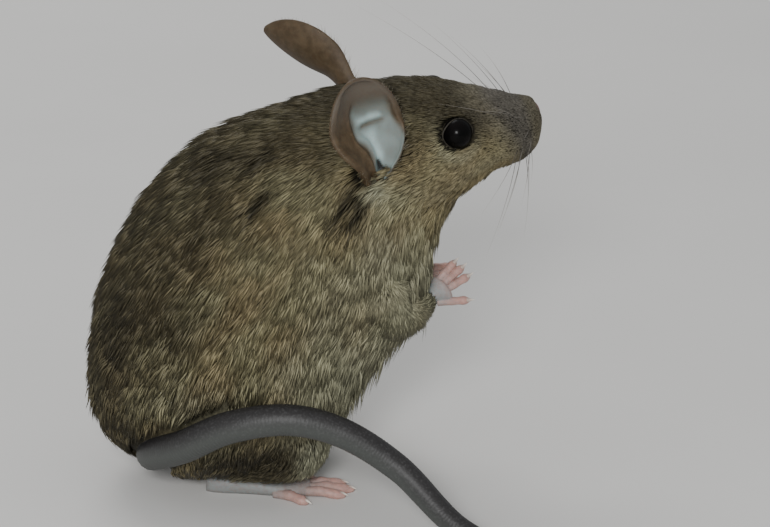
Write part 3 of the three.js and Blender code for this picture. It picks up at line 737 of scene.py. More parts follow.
def body_skin(material):
    """The body from rump to nose: the body's surface drawn in by the coat's depth, with the face on it."""
    rear, waist, face = BODY_RINGS
    t = np.concatenate([
        0.5 * np.linspace(0.03, 1, rear, endpoint=False) ** 1.3,
        np.linspace(0.5, 0.78, waist, endpoint=False),
        1 - 0.22 * np.linspace(1, 0.015, face) ** 1.3,
    ])[:, None]
    angle = circle(BODY_SIDES)
    outer = body_point(t, angle, 0.0)
    height, hollow = head_features(t, angle, outer)
    # partings darken the skin with the hollows: the dark skin at the roots, with painted shade over it
    hollow = np.clip(hollow + parting(outer), 0, 1)
    height = height + hair_streaks(outer) * smooth((0.9 - t) / 0.1)
    marks = dict(zip(MARKS, markings(t + 0 * angle, angle + 0 * t, outer)))
    return closed_tube(
        "skin_body", body_point(t, angle, height - coat_depth(t)), material,
        along=t, nosed=0.2 + 0.8 * nose_pad(outer), hollow=hollow, **marks,
    )


def leg_skin(name, limb, place, depth, material):
    """A limb drawn in by the coat's depth, marked like the part of the body that it grows from."""
    t, angle = np.linspace(0.006, 0.994, LEG_RINGS)[:, None], circle(LEG_SIDES)
    p = limb_point(limb, t, angle, -depth)
    marks = dict(zip(MARKS, markings(np.full(p.shape[:-1], place), np.full(p.shape[:-1], -0.1), p)))
    return closed_tube(name, p, material, along=0.3, nosed=0.0, hollow=0.0, **marks)


def ear_sheet(name, h, s):
    """Middle surface of an ear at height h and place s across it (-1 to 1): a leaf outline rolled into
    a tube at its base, opening and bending back towards its tip."""
    base, along, facing = (np.array(v, float) for v in EARS[name][:3])
    root_curl, tip_curl, sharp = EARS[name][3:]
    up = unit(along)
    front = unit(facing - up * facing.dot(up))
    across = np.cross(up, front)
    below = EAR_WAIST + (1 - EAR_WAIST) * smooth(h / EAR_WIDEST)
    above = np.clip(1 - ((h - EAR_WIDEST) / (1 - EAR_WIDEST)) ** 2, 0, 1) ** (0.5 + sharp)
    curl = root_curl + (tip_curl - root_curl) * smooth(h * 1.5)
    radius = EAR_HALF * np.where(h < EAR_WIDEST, below, above) / curl
    a = s * curl
    forward = radius * (0.8 - np.cos(a)) - EAR_BEND * h * h - EAR_TUCK * (1 - smooth(h / EAR_TUCK_TO))
    h = h + 0 * a
    return moved(base, (up, EAR_LENGTH * h), (across, radius * np.sin(a)), (front, forward))


def ear_skin(name, side, material):
    """An ear: its sheet thickened to both sides, with a filled root. In the cup a pale hollow lies behind
    a broad brown rim, with a fold across its top, a ridge down its back and a canal at its foot. The fold
    and the canal are painted dark as shade, and the middle of the cup and the shelf above the fold are
    painted pale as a highlight."""
    h = (0.99 * (1 - (1 - np.linspace(0, 1, EAR_ROWS)) ** 1.5))[:, None]
    step = np.linspace(-1, 1, EAR_COLUMNS)
    s = np.concatenate([-step, step])[None]
    inner = np.concatenate([0 * step, 0 * step + 1])[None]
    d = 1e-3
    dh = ear_sheet(name, np.minimum(h + d, 0.999), s) - ear_sheet(name, h - d, s)
    ds = ear_sheet(name, h, s + d) - ear_sheet(name, h, s - d)
    normal = unit(np.cross(ds, dh))
    across = unit(ear_sheet(name, 0.6, np.array(0.01)) - ear_sheet(name, 0.6, np.array(-0.01)))
    # the place across the ear, uneven so that the edges of the marks wander
    q = -side * ((ear_sheet(name, h, s) - ear_sheet(name, h, 0 * s)) @ across) / EAR_HALF
    q = q + 0.06 * noise(np.stack([q * 5, h * 14 + 0 * q, 0 * q], -1), 3, 51)
    back = np.interp(h, *CUP_BACK)
    front = np.interp(h, *CUP_FRONT)
    cup = smooth((q - back + 0.05) / 0.13) * smooth((front - q + 0.05) / 0.13) * smooth((0.84 - h) / 0.15)
    short = smooth((0.6 - q) / 0.1)
    fold = bell(h - 0.575 - 0.03 * q, 0.016) * smooth((q + 0.02) / 0.1) * short
    shelf = bell(h - 0.625 - 0.03 * q, 0.028) * smooth((q + 0.15) / 0.1) * short
    ridge = bell(q + 0.02 - 0.25 * (0.5 - h), 0.07) * smooth((h - 0.24) / 0.1) * smooth((0.56 - h) / 0.08)
    canal = bell(q - 0.27 + 2.4 * (h - 0.25), 0.085) * np.exp(-(((h - 0.25) / 0.07) ** 4))
    lip = bell(q - back + 0.02, 0.07) * smooth((0.75 - h) / 0.1) * smooth((h - 0.1) / 0.1)
    fill = EAR_FILL * EAR_FLOOR * (1 - smooth(h / EAR_FLOOR_TO)) * (1 - s * s)
    relief = 0.3 - 0.42 * cup - 0.22 * fold + 0.2 * shelf + 0.28 * ridge - 0.8 * canal + 0.16 * lip
    relief = relief * smooth(h / 0.12) * smooth((0.97 - h) / 0.12) * smooth((1 - s * s) / 0.15)
    rim = 0.7 + 0.3 * np.sqrt(np.clip(1 - s**6, 0, 1))
    half = 0.5 * EAR_THICK * rim * 0.8 + inner * (fill + relief)
    p = moved(ear_sheet(name, h, s), (normal, np.where(inner > 0, 1, -1) * half))
    tint = smooth((q - back) / 0.24) * smooth((front - q + 0.02) / 0.2) * smooth((0.86 - h) / 0.22)
    # painted highlight: the shine over the middle of the cup and along the shelf above the fold
    cup_highlight = bell(q - 0.2, 0.17) * smooth((0.6 - h) / 0.12) * smooth(h / 0.3) + 0.8 * shelf
    cup_highlight = cup_highlight + 0.15 * noise(np.stack([q * 6, h * 9 + 0 * q, 0 * q], -1), 2, 52)
    layers = {
        # painted shade: along the fold the cup's pale gives way to the rim's brown
        "cup": tint * (1 - 0.7 * fold),
        "rosy": bell(q + 0.28, 0.1) * bell(h - 0.52, 0.06),
        "cup_highlight": np.clip(cup_highlight, 0, 1) * tint,
        # painted shade: the canal goes near black
        "hollow": smooth((canal - 0.3) / 0.5),
    }
    layers = {key: value * inner for key, value in layers.items()}
    return closed_tube("skin_ear_" + name, turn_head(p, 1.0), material, along=h, inner=inner, **layers)


def tail_at(u):
    """Middle of the tail at a share u of its length, found on its curve by arc length, and that length."""
    fine = np.linspace(0, 1, 1500)
    p = chordal(TAIL_PATH, fine)
    run = np.concatenate([[0], np.cumsum(np.linalg.norm(np.diff(p, axis=0), axis=1))])
    return chordal(TAIL_PATH, np.interp(u * run[-1], run, fine)), run[-1]


def tail_radius(u):
    """Radius of the tail at a share u of its length: from its root to its tip by a power of u."""
    return TAIL_ROOT + (TAIL_TIP - TAIL_ROOT) * u**TAIL_FALLOFF


def tail_skin(material):
    """The tail: a tapering round rod with a groove at each ring of scales, flat where it lies."""
    u = np.linspace(0, 0.9995, TAIL_RINGS)
    (centre, length), ahead = tail_at(u), tail_at(np.minimum(u + 1e-3, 1))[0]
    along = unit(ahead - tail_at(np.maximum(u - 1e-3, 0))[0])
    across = unit(np.cross([0, 0, 1.0], along))[:, None]
    angle = circle(TAIL_SIDES)
    groove = np.abs(np.sin(math.pi * u * length / TAIL_RING))[:, None] ** 0.6
    end = np.minimum(1, np.sqrt((1 - u) / 0.006 + 1e-4))[:, None]
    radius = tail_radius(u)[:, None] * end * (0.982 + 0.018 * groove) + 0 * angle
    up = np.cross(along[:, None], across)
    p = moved(centre[:, None], (across, radius * np.cos(angle)), (up, radius * np.sin(angle)))
    p[..., 2] = np.maximum(p[..., 2], FLOOR)
    around = angle / (2 * math.pi)
    return closed_tube("skin_tail", p, material, along=u[:, None], around=around, hollow=1 - groove)


def digit_skin(name, base, forward, down, length, radius, material):
    """A toe or finger: a rod with two knuckles and a pad under its end."""
    across = unit(np.cross(forward, down))
    t = np.concatenate([np.linspace(-0.2, 0.9, 17), 1 + 0.12 * np.sin(np.linspace(-0.6, 1.45, 8))])
    end = np.clip(1 - ((t - 0.86) / 0.262).clip(0) ** 2, 0.003, 1) ** 0.5
    knuckle = 0.84 + 0.1 * bell(t - 0.4, 0.12) + 0.15 * bell(t - 0.85, 0.13)
    drop = np.interp(t, [-0.2, 0.45, 0.8, 1.0, 1.2], [0, -0.06, 0.02, 0.05, 0.06])
    angle = circle(DIGIT_SIDES)
    wide = (radius * knuckle * end)[:, None]
    pad = 1 + 0.18 * bell(t - 0.86, 0.14)[:, None] * np.clip(np.sin(angle), 0, 1)
    p = moved(base, (forward, t * length), (down, drop * length))[:, None]
    p = moved(p, (across, wide * np.cos(angle)), (down, wide * pad * np.sin(angle)))
    p[..., 2] = np.maximum(p[..., 2], FLOOR)
    return closed_tube(name, p, material, along=(0.6 + 0.4 * np.clip(t, 0, 1))[:, None], hollow=0.0)


def foot_axes(side):
    """The heel and the ball at floor level, and the ways forward and across a hind foot."""
    back = np.array([HEEL[0], side * HEEL[1], FLOOR])
    front = np.array([BALL[0], side * BALL[1], FLOOR])
    forward = unit(front - back)
    return back, front, forward, side * np.array([-forward[1], forward[0], 0])


def paw_axes(name, side):
    """The wrist, the palm's end, and the ways forward, down through the palm and across a forepaw."""
    wrist, palm, dorsal = (np.array(v, float) for v in FOREPAWS[name])
    forward = unit(palm - wrist)
    down = unit(-dorsal + forward * dorsal.dot(forward))
    return wrist, palm, forward, down, side * np.cross(forward, down)


def toe_lines(name, side):
    """Base, heading, down, length and radius of each digit of a hind foot, then of a forepaw."""
    _, front, forward, across = foot_axes(side)
    floorward = np.array([0, 0, -1.0])
    lines = []
    for place, back, length, turn in HIND_TOES:
        base = front - forward * (back + TOE_SUNK) + across * place
        base[2] = FLOOR + TOE_HEIGHT * TOE_RADIUS
        r = math.radians(turn)
        lines.append((base, forward * math.cos(r) + across * math.sin(r), floorward, length, TOE_RADIUS))
    _, palm, forward, down, across = paw_axes(name, side)
    for place, back, length, turn in FINGERS:
        base = palm - forward * (back + FINGER_SUNK) + across * place
        r = math.radians(turn)
        heading = unit(forward * math.cos(r) + across * math.sin(r) + down * FINGER_DROOP)
        lines.append((base, heading, down, length, FINGER_RADIUS))
    return lines


def foot_skin(side, material):
    """The long hind foot from heel to ball, an oval section that is flat on the floor."""
    back, front, forward, across = foot_axes(side)
    t = np.linspace(0.002, 0.998, FOOT_RINGS)[:, None]
    ends = np.minimum(dome(t, 0.24), dome(1 - t, 0.16))
    half = (HEEL_HALF + (BALL_HALF - HEEL_HALF) * smooth((t - 0.25) / 0.6)) * ends
    high = (HEEL_HIGH + (BALL_HIGH - HEEL_HIGH) * smooth(t)) * (0.45 + 0.55 * ends) / 2
    angle = circle(FOOT_SIDES, 0.5)
    tendon = 0.05 * np.sin(angle * 5) * smooth((t - 0.3) / 0.3) * np.clip(np.sin(angle), 0, 1)
    p = moved(back, (forward, t * np.linalg.norm(front - back)), (across, half * np.cos(angle)))
    p[..., 2] = np.maximum(FLOOR, high * (SOLE_HEIGHT + np.sin(angle)) + tendon)
    return closed_tube("skin_foot", p, material, along=0.6 * t, hollow=0.0)


def paw_skin(name, side, material):
    """The back and palm of a forepaw from the wrist to the fingers, with pads under the palm."""
    wrist, palm, forward, down, across = paw_axes(name, side)
    t, angle = np.linspace(-0.25, 0.998, PAW_RINGS)[:, None], circle(PAW_SIDES)
    ends = dome(1 - t, 0.3)
    half = (WRIST_HALF + (PALM_HALF - WRIST_HALF) * smooth(t * 1.4)) * ends
    pads = 1 + 0.16 * np.clip(np.sin(angle), 0, 1) * np.cos(angle * 3 + 4 * t) * smooth((t - 0.3) / 0.3)
    p = moved(
        wrist, (forward, t * np.linalg.norm(palm - wrist)), (across, half * np.cos(angle)),
        (down, PALM_THICK * np.sqrt(ends) * np.sin(angle) * pads),
    )
    return closed_tube("skin_paw", p, material, along=0.2 + 0.45 * np.clip(t, 0, 1), hollow=0.0)


def eye_axes(side):
    """The way that an eye faces, and the ways along and up its opening."""
    axis = turn_head(NECK_PIVOT + unit(np.array(EYE_AXIS) * [1, side, 1]), 1.0) - NECK_PIVOT
    wide = unit(np.cross([0, 0, 1.0], axis))
    return axis, wide, np.cross(axis, wide)


def lid_skin(name, material):
    """The lids: a thin rim round the eye, a little longer towards the nose and the ear."""
    centre, side = EYES[name]
    axis, wide, high = eye_axes(side)
    a, b = circle(LID_RINGS)[0][:, None], circle(LID_SIDES)
    stretch = 1 + 0.10 * np.abs(np.cos(a)) ** 6
    out = moved(0, (wide, np.cos(a) * stretch), (high, 0.94 * np.sin(a)))
    p = moved(centre, (axis, LID_FORWARD + LID_THICK * np.sin(b)), (out, LID_RADIUS + LID_THICK * np.cos(b)))
    count, sides = p.shape[:2]
    i, j = np.meshgrid(np.arange(count), np.arange(sides), indexing="ij")
    corner = [((i + x) % count) * sides + (j + y) % sides for x, y in ((0, 0), (0, 1), (1, 1), (1, 0))]
    faces = [np.stack([corner[k] for k in pick], -1).reshape(-1, 3) for pick in ((0, 1, 2), (0, 2, 3))]
    verts = p.reshape(-1, 3)
    faces = facing_out(verts, np.concatenate(faces))
    return mesh_object("skin_lid", verts, faces, material, {"known": np.ones(len(verts))})


def joined(pieces, name):
    """All the closed pieces as one closed skin, by Boolean unions. Points that the cuts made take the mean
    of their neighbours' attributes, which are weighed by how known each one is."""
    whole = pieces[0]
    for other in pieces[1:]:
        cut = whole.modifiers.new("Join", "BOOLEAN")
        cut.operation, cut.solver, cut.object = "UNION", "MANIFOLD", other
        graph = bpy.context.evaluated_depsgraph_get()
        mesh = bpy.data.meshes.new_from_object(
            whole.evaluated_get(graph), preserve_all_data_layers=True, depsgraph=graph
        )
        whole.modifiers.clear()
        old, whole.data = whole.data, mesh
        bpy.data.meshes.remove(old)
        bpy.data.objects.remove(other)
    mesh = whole.data
    mesh.name = whole.name = name
    count = len(mesh.vertices)
    edges = np.empty(len(mesh.edges) * 2, np.int32)
    mesh.edges.foreach_get("vertices", edges)
    edges = edges.reshape(-1, 2)
    known = np.zeros(count, np.float32)
    mesh.attributes["known"].data.foreach_get("value", known)
    layers = [a for a in mesh.attributes if a.data_type == "FLOAT" and a.domain == "POINT"]
    lost = known < 0.5
    for _ in range(3):
        total = np.zeros(count)
        for a, b in ((0, 1), (1, 0)):
            np.add.at(total, edges[:, a], known[edges[:, b]])
        fill = lost & (known < 0.5) & (total > 0)
        for layer in layers:
            if layer.name == "known":
                continue
            values = np.zeros(count, np.float32)
            layer.data.foreach_get("value", values)
            summed = np.zeros(count)
            for a, b in ((0, 1), (1, 0)):
                np.add.at(summed, edges[:, a], values[edges[:, b]] * known[edges[:, b]])
            values[fill] = summed[fill] / total[fill]
            layer.data.foreach_set("value", values)
        known[fill] = 1
    mesh.attributes["known"].data.foreach_set("value", known)
    mesh.shade_smooth()
    return whole


FLESH = (
    "trunk", "neck", "head", "nose", "ear_right", "ear_left", "foreleg_right", "foreleg_left",
    "forepaw_right", "forepaw_left", "hind_leg_right", "hind_leg_left", "hind_foot_right", "hind_foot_left",
    "tail_root", "tail_bend", "tail_arch", "tail_slope", "tail_middle", "tail_tip",
)


def kept(piece, slot, *nodes):
    """The piece rides on the model's one body and stands for the nodes, which it hides. The slot is not
    used.
    """
    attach(piece, "root")
    if nodes:
        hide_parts(*nodes)
    return piece


# ---------------------------------------------------------------- the coat


def scattered(rng, surface, inside, t_edges, angle_edges, crowd, depth, count):
    """Random places t and angle on a surface, as many in each cell of a grid as its area and crowd say.
    With them come the depth there, the root at that depth, the outward normal, and how far the surface
    runs in millimetres for a unit of t and of angle."""
    p = surface(t_edges[:, None], angle_edges[None], 0.0)
    corner = p[:-1, :-1]
    weight = np.linalg.norm(np.cross(p[1:, :-1] - corner, p[:-1, 1:] - corner), axis=-1) * crowd
    cell = rng.choice(weight.size, size=count, p=weight.ravel() / weight.sum())
    i, j = np.divmod(cell, weight.shape[1])
    t = t_edges[i] + rng.random(count) * np.diff(t_edges)[i]
    angle = angle_edges[j] + rng.random(count) * np.diff(angle_edges)[j]
    deep, d = depth(t), 1e-3
    root = surface(t, angle, -deep)
    along = (surface(t + d, angle, -deep) - surface(t - d, angle, -deep)) / (2 * d)
    around = (surface(t, angle + d, -deep) - surface(t, angle - d, -deep)) / (2 * d)
    normal = unit(np.cross(around, along))
    normal = normal * np.sign((normal * (root - inside(t, angle, deep))).sum(1))[:, None]
    return t, angle, deep, root, normal, along, around


EYE_MARGIN, EAR_MARGIN, TAIL_MARGIN, DIGIT_MARGIN, FOOT_BALL = 0.22, 0.5, 0.2, 0.15, 1.7


def obstacles():
    """Middles and radii of balls that fill what the coat mustn't pass through: eyes, ears, tail, feet and
    digits."""
    balls = [np.append(centre, EYE_RADIUS + EYE_MARGIN)[None] for centre, _ in EYES.values()]
    h, s = np.meshgrid(np.linspace(0.1, 0.98, 26), np.linspace(-1, 1, 24), indexing="ij")
    for name in EARS:
        p = turn_head(ear_sheet(name, h, s), 1.0)
        balls.append(np.c_[p.reshape(-1, 3), np.full(p.size // 3, EAR_MARGIN)])
        inside = p[:14].mean(1)
        balls.append(np.c_[inside, np.linalg.norm(inside - p[:14, 12], axis=1)])
    u = np.linspace(0.07, 1, 160)
    balls.append(np.c_[tail_at(u)[0], tail_radius(u) + TAIL_MARGIN + 0.5 * smooth((0.24 - u) / 0.1)])
    for name, side in SIDES:
        back, front, _, _ = foot_axes(side)
        f = np.linspace(0, 1, 14)[:, None]
        balls.append(np.c_[back + (front - back) * f + [0, 0, 0.8], np.full(14, FOOT_BALL)])
        for line in toe_lines(name, side):
            f = np.linspace(0, 1, 5)[:, None]
            balls.append(np.c_[line[0] + line[1] * line[3] * f, np.full(5, line[4] + DIGIT_MARGIN)])
    return np.concatenate(balls)


def distances(points, others, share):
    """Slices of the points, share at a time, each with its points' distances to all the others."""
    for part in np.array_split(np.arange(len(points)), max(1, len(points) // share)):
        away = points[part, None].astype(np.float32) - others[None].astype(np.float32)
        yield part, np.linalg.norm(away, axis=-1)


def clear_of(points, balls, margin=0.0):
    """True for each point that lies outside every ball, once the balls have grown by a margin."""
    free = np.ones(len(points), bool)
    for part, gap in distances(points, balls[:, :3], 4000):
        free[part] = (gap > balls[None, :, 3] + margin).all(1)
    return free


def outside_body(points):
    """True for each point outside the body's skin: it lies on the outer side of the nearest sample."""
    t, a = np.linspace(0.01, 0.7, 90)[:, None], circle(80)
    sample = body_point(t, a, -coat_depth(t)).reshape(-1, 3)
    centre = body_point(t, a, -coat_depth(t) - 1.0).reshape(-1, 3)
    free = np.ones(len(points), bool)
    for part, gap in distances(points, sample, 2000):
        near = gap.argmin(1)
        free[part] = ((points[part] - sample[near]) * (sample[near] - centre[near])).sum(1) > 0.05
    return free


def tufts(name, root, middle, tip, normal, width, marks, uv, rng, material, tipped=0.35):
    """Closed tapering tufts of ten triangles: three points round the root, three round the middle and
    one tip, wider across the lie than they are thick."""
    count = len(root)
    lie = unit(tip - root)
    side = unit(np.cross(normal, lie))
    up = np.cross(lie, side)

    def ring(centre, size):
        half = (width * size)[:, None]
        return [centre - side * half, centre + side * half, centre + up * half * 0.9]

    points = ring(root, 0.42) + ring(middle, 0.5) + [tip]
    verts = np.stack(points, 1).reshape(-1, 3)
    verts[:, 2] = np.maximum(verts[:, 2], FLOOR + 0.02)
    one = [(0, 2, 1), (3, 4, 6), (4, 5, 6), (5, 3, 6)]
    for a, b in ((0, 1), (1, 2), (2, 0)):
        one += [(a, b, b + 3), (a, b + 3, a + 3)]
    faces = (np.array(one)[None] + (np.arange(count) * TUFT_POINTS)[:, None, None]).reshape(-1, 3)
    clump = noise(root, 1.5, 31) * 0.09 + noise(root, 5.5, 32) * 0.07
    shade = np.clip(1 + clump + rng.normal(0, 0.16, count), 0.5, 1.6)
    dark = (rng.random(count) < tipped) * rng.uniform(0.5, 1, count)
    layers = {
        "along": np.tile([0, 0, 0, 0.5, 0.5, 0.5, 1.0], count),
        "shade": np.repeat(shade, TUFT_POINTS),
        "tipped": np.repeat(dark, TUFT_POINTS),
    }
    for key, values in zip(MARKS, marks):
        layers[key] = np.repeat(values, TUFT_POINTS)
    patch = np.array([[-1, -1], [1, -1], [0, -1], [-1, 0], [1, 0], [0, 0], [0, 1]]) * 0.0015
    corner_uv = (uv[:, None] + patch[None]).reshape(-1, 2)
    return kept(mesh_object(name, verts, faces, material, layers, corner_uv), "coat")


BODY_COATS = (
    # name, from and to along the body, from and to round it in quarter turns, tufts
    ("coat_rump_right", 0.02, 0.22, 1.0, 3.0, 14500),
    ("coat_rump_left", 0.02, 0.22, -1.0, 1.0, 13500),
    ("coat_flank_right", 0.22, 0.40, 1.0, 3.0, 18500),
    ("coat_flank_left", 0.22, 0.40, -1.0, 1.0, 16500),
    ("coat_shoulder_right", 0.40, 0.56, 1.0, 3.0, 15500),
    ("coat_shoulder_left", 0.40, 0.56, -1.0, 1.0, 13500),
    ("coat_head_right", 0.56, 0.997, 1.0, 3.0, 19000),
    ("coat_head_left", 0.56, 0.997, -1.0, 1.0, 18000),
)


def body_coat(name, start, stop, low, high, count, seed, balls, material):
    """Tufts over one stretch of the body. Each lies from nose to rump on the skin, rises through the
    coat's depth and ends near the coat's outside, with its heading and lift stirred by smooth noise."""
    rng = np.random.default_rng(SEED + seed)
    s = bpy.context.scene.mouse_coat
    t_edges = np.linspace(start, stop, 60)
    angle_edges = np.linspace(low, high, 60) * math.pi / 2
    middle_t = (t_edges[1:] + t_edges[:-1]) / 2
    crowd = np.interp(middle_t, *HAIR_CROWD)[:, None]
    t, angle, depth, root, normal, along, around = scattered(
        rng, body_point, lambda t, angle, depth: body_point(t, angle, -depth - 1), t_edges,
        angle_edges, crowd, coat_depth, count,
    )
    length = np.interp(t, *HAIR_LENGTH)
    fringe = smooth((-0.55 - np.sin(angle)) / 0.35) * smooth((0.5 - t) / 0.1)
    length = length * s.length / FULL_LENGTH * rng.uniform(0.7, 1.2, count) * (1 + 0.35 * fringe)
    rise = np.maximum(depth, 0.22) * rng.uniform(0.55, 1.1, count) * (1 + 0.9 * fringe * rng.random(count))
    rise = rise * (1 + 0.22 * noise(root, 2.4, 41))
    sway = 0.1 * noise(root, 3.5, 42) + rng.normal(0, 0.1, count)
    run_t, run_a = np.linalg.norm(along, axis=1), np.maximum(np.linalg.norm(around, axis=1), 1.0)

    def at(f, lift):
        place = np.maximum(t - f * length * np.cos(sway) / run_t, 0.006)
        return body_point(place, angle + f * length * np.sin(sway) / run_a, lift - coat_depth(t))

    middle, tip = at(0.5, 0.7 * rise), at(1.0, rise)
    root = root - normal * TUFT_SUNK
    outer = body_point(t, angle, 0.0)
    free = clear_of(tip, balls) & clear_of(middle, balls) & clear_of(root, balls, -ROOT_SLACK)
    gap = parted(outer, middle, tip)
    free = free & (rng.random(count) > PARTING_LOSS * gap) & (nose_pad(outer) < PAD_EDGE)
    marks = markings(t, angle, middle)
    # tufts that cross a parting are painted dark: the dark undercoat, with painted shade in the gap
    marks[0] = np.clip(marks[0] + gap, 0, 1)
    width = s.width * np.interp(t, *HAIR_WIDTH) * rng.uniform(0.7, 1.3, count)
    uv = np.stack([angle / (2 * math.pi) % 1.0, t], -1)
    return tufts(
        name, *(a[free] for a in (root, middle, tip, normal, width)),
        [m[free] for m in marks], uv[free], rng, material,
    )


LEG_COATS = (
    # name, the legs, place on the body, depth, how far down the leg, droop, tufts, seed
    ("coat_hind_legs", [HIND_LEG * [1, side, 1, 1, 1] for _, side in SIDES], HIND_PLACE, HIND_DEPTH,
     0.9, 0.3, 6000, 21),
    ("coat_forelegs", [FORELEGS[name] for name, _ in SIDES], FORE_PLACE, FORE_DEPTH, 0.93, 1.0, 7000, 22),
)


def leg_coat(name, limbs, place, depth, reach, droop, count, seed, balls, material):
    """Tufts over the legs where they are outside the body. Each lies towards the paw, and the upper ones
    fall downwards by a share of droop."""
    rng = np.random.default_rng(SEED + seed)
    sets = []
    for column, limb in enumerate(limbs):
        t, angle, _, root, normal, along, around = scattered(
            rng, lambda t, angle, grow, limb=limb: limb_point(limb, t, angle, grow),
            lambda t, angle, depth, limb=limb: chordal(limb[:, :3], t),
            np.linspace(0.02, reach, 40), np.linspace(0, 2 * math.pi, 40), 1.0, lambda t: depth, count,
        )
        taper = np.interp(t, [0, 0.6, 1], [1, 0.85, 0.35])
        size = LEG_HAIR_LENGTH * taper * rng.uniform(0.7, 1.2, count)
        rise = depth * taper * rng.uniform(0.6, 1.15, count)
        fall = np.array(LEG_HAIR_FALL) - normal * (normal @ LEG_HAIR_FALL)[:, None]
        lie = unit(unit(along) + 2.5 * fall * smooth((0.75 - t) / 0.4)[:, None] * droop)
        lie = unit(lie + unit(around) * rng.normal(0, 0.15, count)[:, None])
        middle = root + lie * (0.5 * size)[:, None] + normal * (0.7 * rise)[:, None]
        tip = root + lie * size[:, None] + normal * rise[:, None]
        free = outside_body(root) & clear_of(tip, balls) & clear_of(middle, balls)
        free = free & (tip[:, 2] > LOWEST_LEG_HAIR)
        marks = markings(np.full(count, place), np.full(count, -0.1 - 0.5 * droop), middle)
        width = LEG_TUFT_WIDTH * taper * rng.uniform(0.7, 1.3, count)
        uv = np.stack([(column + 0.05 + 0.9 * angle / (2 * math.pi)) / len(limbs), t], -1)
        sets.append([a[free] for a in (root - normal * TUFT_SUNK, middle, tip, normal, width, *marks, uv)])
    root, middle, tip, normal, width, *marks, uv = (np.concatenate(c) for c in zip(*sets))
    return tufts(name, root, middle, tip, normal, width, marks, uv, rng, material, 0.15)


# ---------------------------------------------------------------- claws, whiskers


def tapers(name, base, heading, bend, length, radius, rings, sides, material, slot):
    """Thin closed horns or hairs: a round section whose radius falls to almost nothing along a path that
    bends by the square of the distance."""
    f = np.linspace(0, 1, rings)
    count = len(base)
    middle = base[:, None] + heading[:, None] * (length[:, None] * f)[..., None]
    middle = middle + bend[:, None] * (length[:, None] * f**2)[..., None]
    side = unit(np.cross(heading, bend + [0.01, 0.02, 0.03]))
    up = np.cross(heading, side)
    angle = circle(sides)[0]
    size = radius * (1 - 0.93 * f**1.2)
    ring = side[:, None, None] * np.cos(angle)[:, None] + up[:, None, None] * np.sin(angle)[:, None]
    wall = middle[:, :, None] + ring * size[:, None, None]
    per = rings * sides + 2
    verts = np.concatenate([wall.reshape(count, -1, 3), middle[:, :1], middle[:, -1:]], 1)
    one = facing_out(verts[0], tube_faces(rings, sides))
    faces = (one[None] + (np.arange(count) * per)[:, None, None]).reshape(-1, 3)
    along = np.tile(np.concatenate([np.repeat(f, sides), [0, 1]]), count)
    return kept(mesh_object(name, verts.reshape(-1, 3), faces, material, {"along": along}), slot)


def ear_hairs(rng, name, count):
    """Roots, headings, bends and lengths of the short hairs on an ear's rim, most of them near its foot."""
    h = 0.05 + 0.88 * rng.random(count) ** 1.6
    s = rng.choice([-1.0, 1.0], count) * rng.uniform(0.86, 0.99, count)
    root = turn_head(ear_sheet(name, h, s), 1.0)
    out = unit(root - turn_head(ear_sheet(name, h, 0.8 * s), 1.0))
    up = unit(turn_head(ear_sheet(name, h + 0.02, s), 1.0) - root)
    heading = unit(0.7 * out + up * rng.uniform(0.2, 0.9, (count, 1)) + rng.normal(0, 0.25, (count, 3)))
    return root, heading, up * rng.uniform(0, 0.3, (count, 1)), rng.uniform(0.4, 0.9, count) * (1.8 - h)


def beside_eyes(base, heading, bend, length):
    """True for each whisker whose path doesn't cross in front of an eye."""
    f = np.linspace(0.1, 1, 20)[:, None]
    run = length[:, None, None]
    path = base[:, None] + heading[:, None] * run * f + bend[:, None] * run * f**2
    clear = np.ones(len(base), bool)
    for centre, side in EYES.values():
        axis = eye_axes(side)[0]
        ahead = (path - centre) @ axis
        off = np.linalg.norm(path - centre - ahead[..., None] * axis, axis=-1)
        clear &= ~((off < EYE_RADIUS + 1.2) & (ahead > 0)).any(1)
    return clear


# ---------------------------------------------------------------- settings


def colour_property(name, description, default):
    return bpy.props.FloatVectorProperty(
        name=name, description=description, default=default, subtype="COLOR", min=0, max=1, size=3
    )


class MouseColours(bpy.types.PropertyGroup):
    tan: colour_property("Tan", "Coat of the flank", (0.222, 0.203, 0.115))
    russet: colour_property("Russet", "Redder patches of the coat", (0.195, 0.15, 0.078))
    # the dark coat's colour is also the colour of the coat's painted shade
    dark: colour_property("Dark", "Coat of the back and crown", (0.054, 0.046, 0.026))
    pale: colour_property("Pale", "Coat of the belly", (0.272, 0.27, 0.187))
    grey: colour_property("Grey", "Coat of the muzzle", (0.088, 0.08, 0.066))
    nose: colour_property("Nose", "Bare skin of the nose", (0.33, 0.17, 0.145))
    # the pale blue of the ear's cup where its painted highlight falls
    ear_cup_and_sheen: colour_property("Ear cup", "Pale skin inside the ear", (0.33, 0.43, 0.425))
    foot: colour_property("Foot", "Back of the hind foot", (0.215, 0.228, 0.222))
    toe: colour_property("Toe", "Toes and fingers", (0.45, 0.268, 0.228))
    tail_top: colour_property("Tail above", "Upper side of the tail", (0.02, 0.0185, 0.0185))
    tail_under: colour_property("Tail below", "Under side of the tail", (0.054, 0.058, 0.054))


class MouseCoat(bpy.types.PropertyGroup):
    length: bpy.props.FloatProperty(
        name="Length", description="Length of the hair on the back, in mm", default=3.8, min=1, max=8
    )
    width: bpy.props.FloatProperty(
        name="Width", description="Width of a tuft on the back, in mm", default=0.26, min=0.1, max=0.6
    )
    whiskers: bpy.props.IntProperty(
        name="Whiskers", description="Whiskers on each side of the muzzle", default=22, min=6, max=60
    )


class MouseStage(bpy.types.PropertyGroup):
    floor_size: bpy.props.FloatProperty(
        name="Floor", description="Width of the floor", default=3.0, unit="LENGTH", min=0.5
    )
    key_power: bpy.props.FloatProperty(
        name="Key light", description="Power of the main light", default=2.45, subtype="POWER", min=0
    )
    world: bpy.props.FloatProperty(
        name="Surroundings", description="Strength of the light from all round", default=0.55, min=0
    )


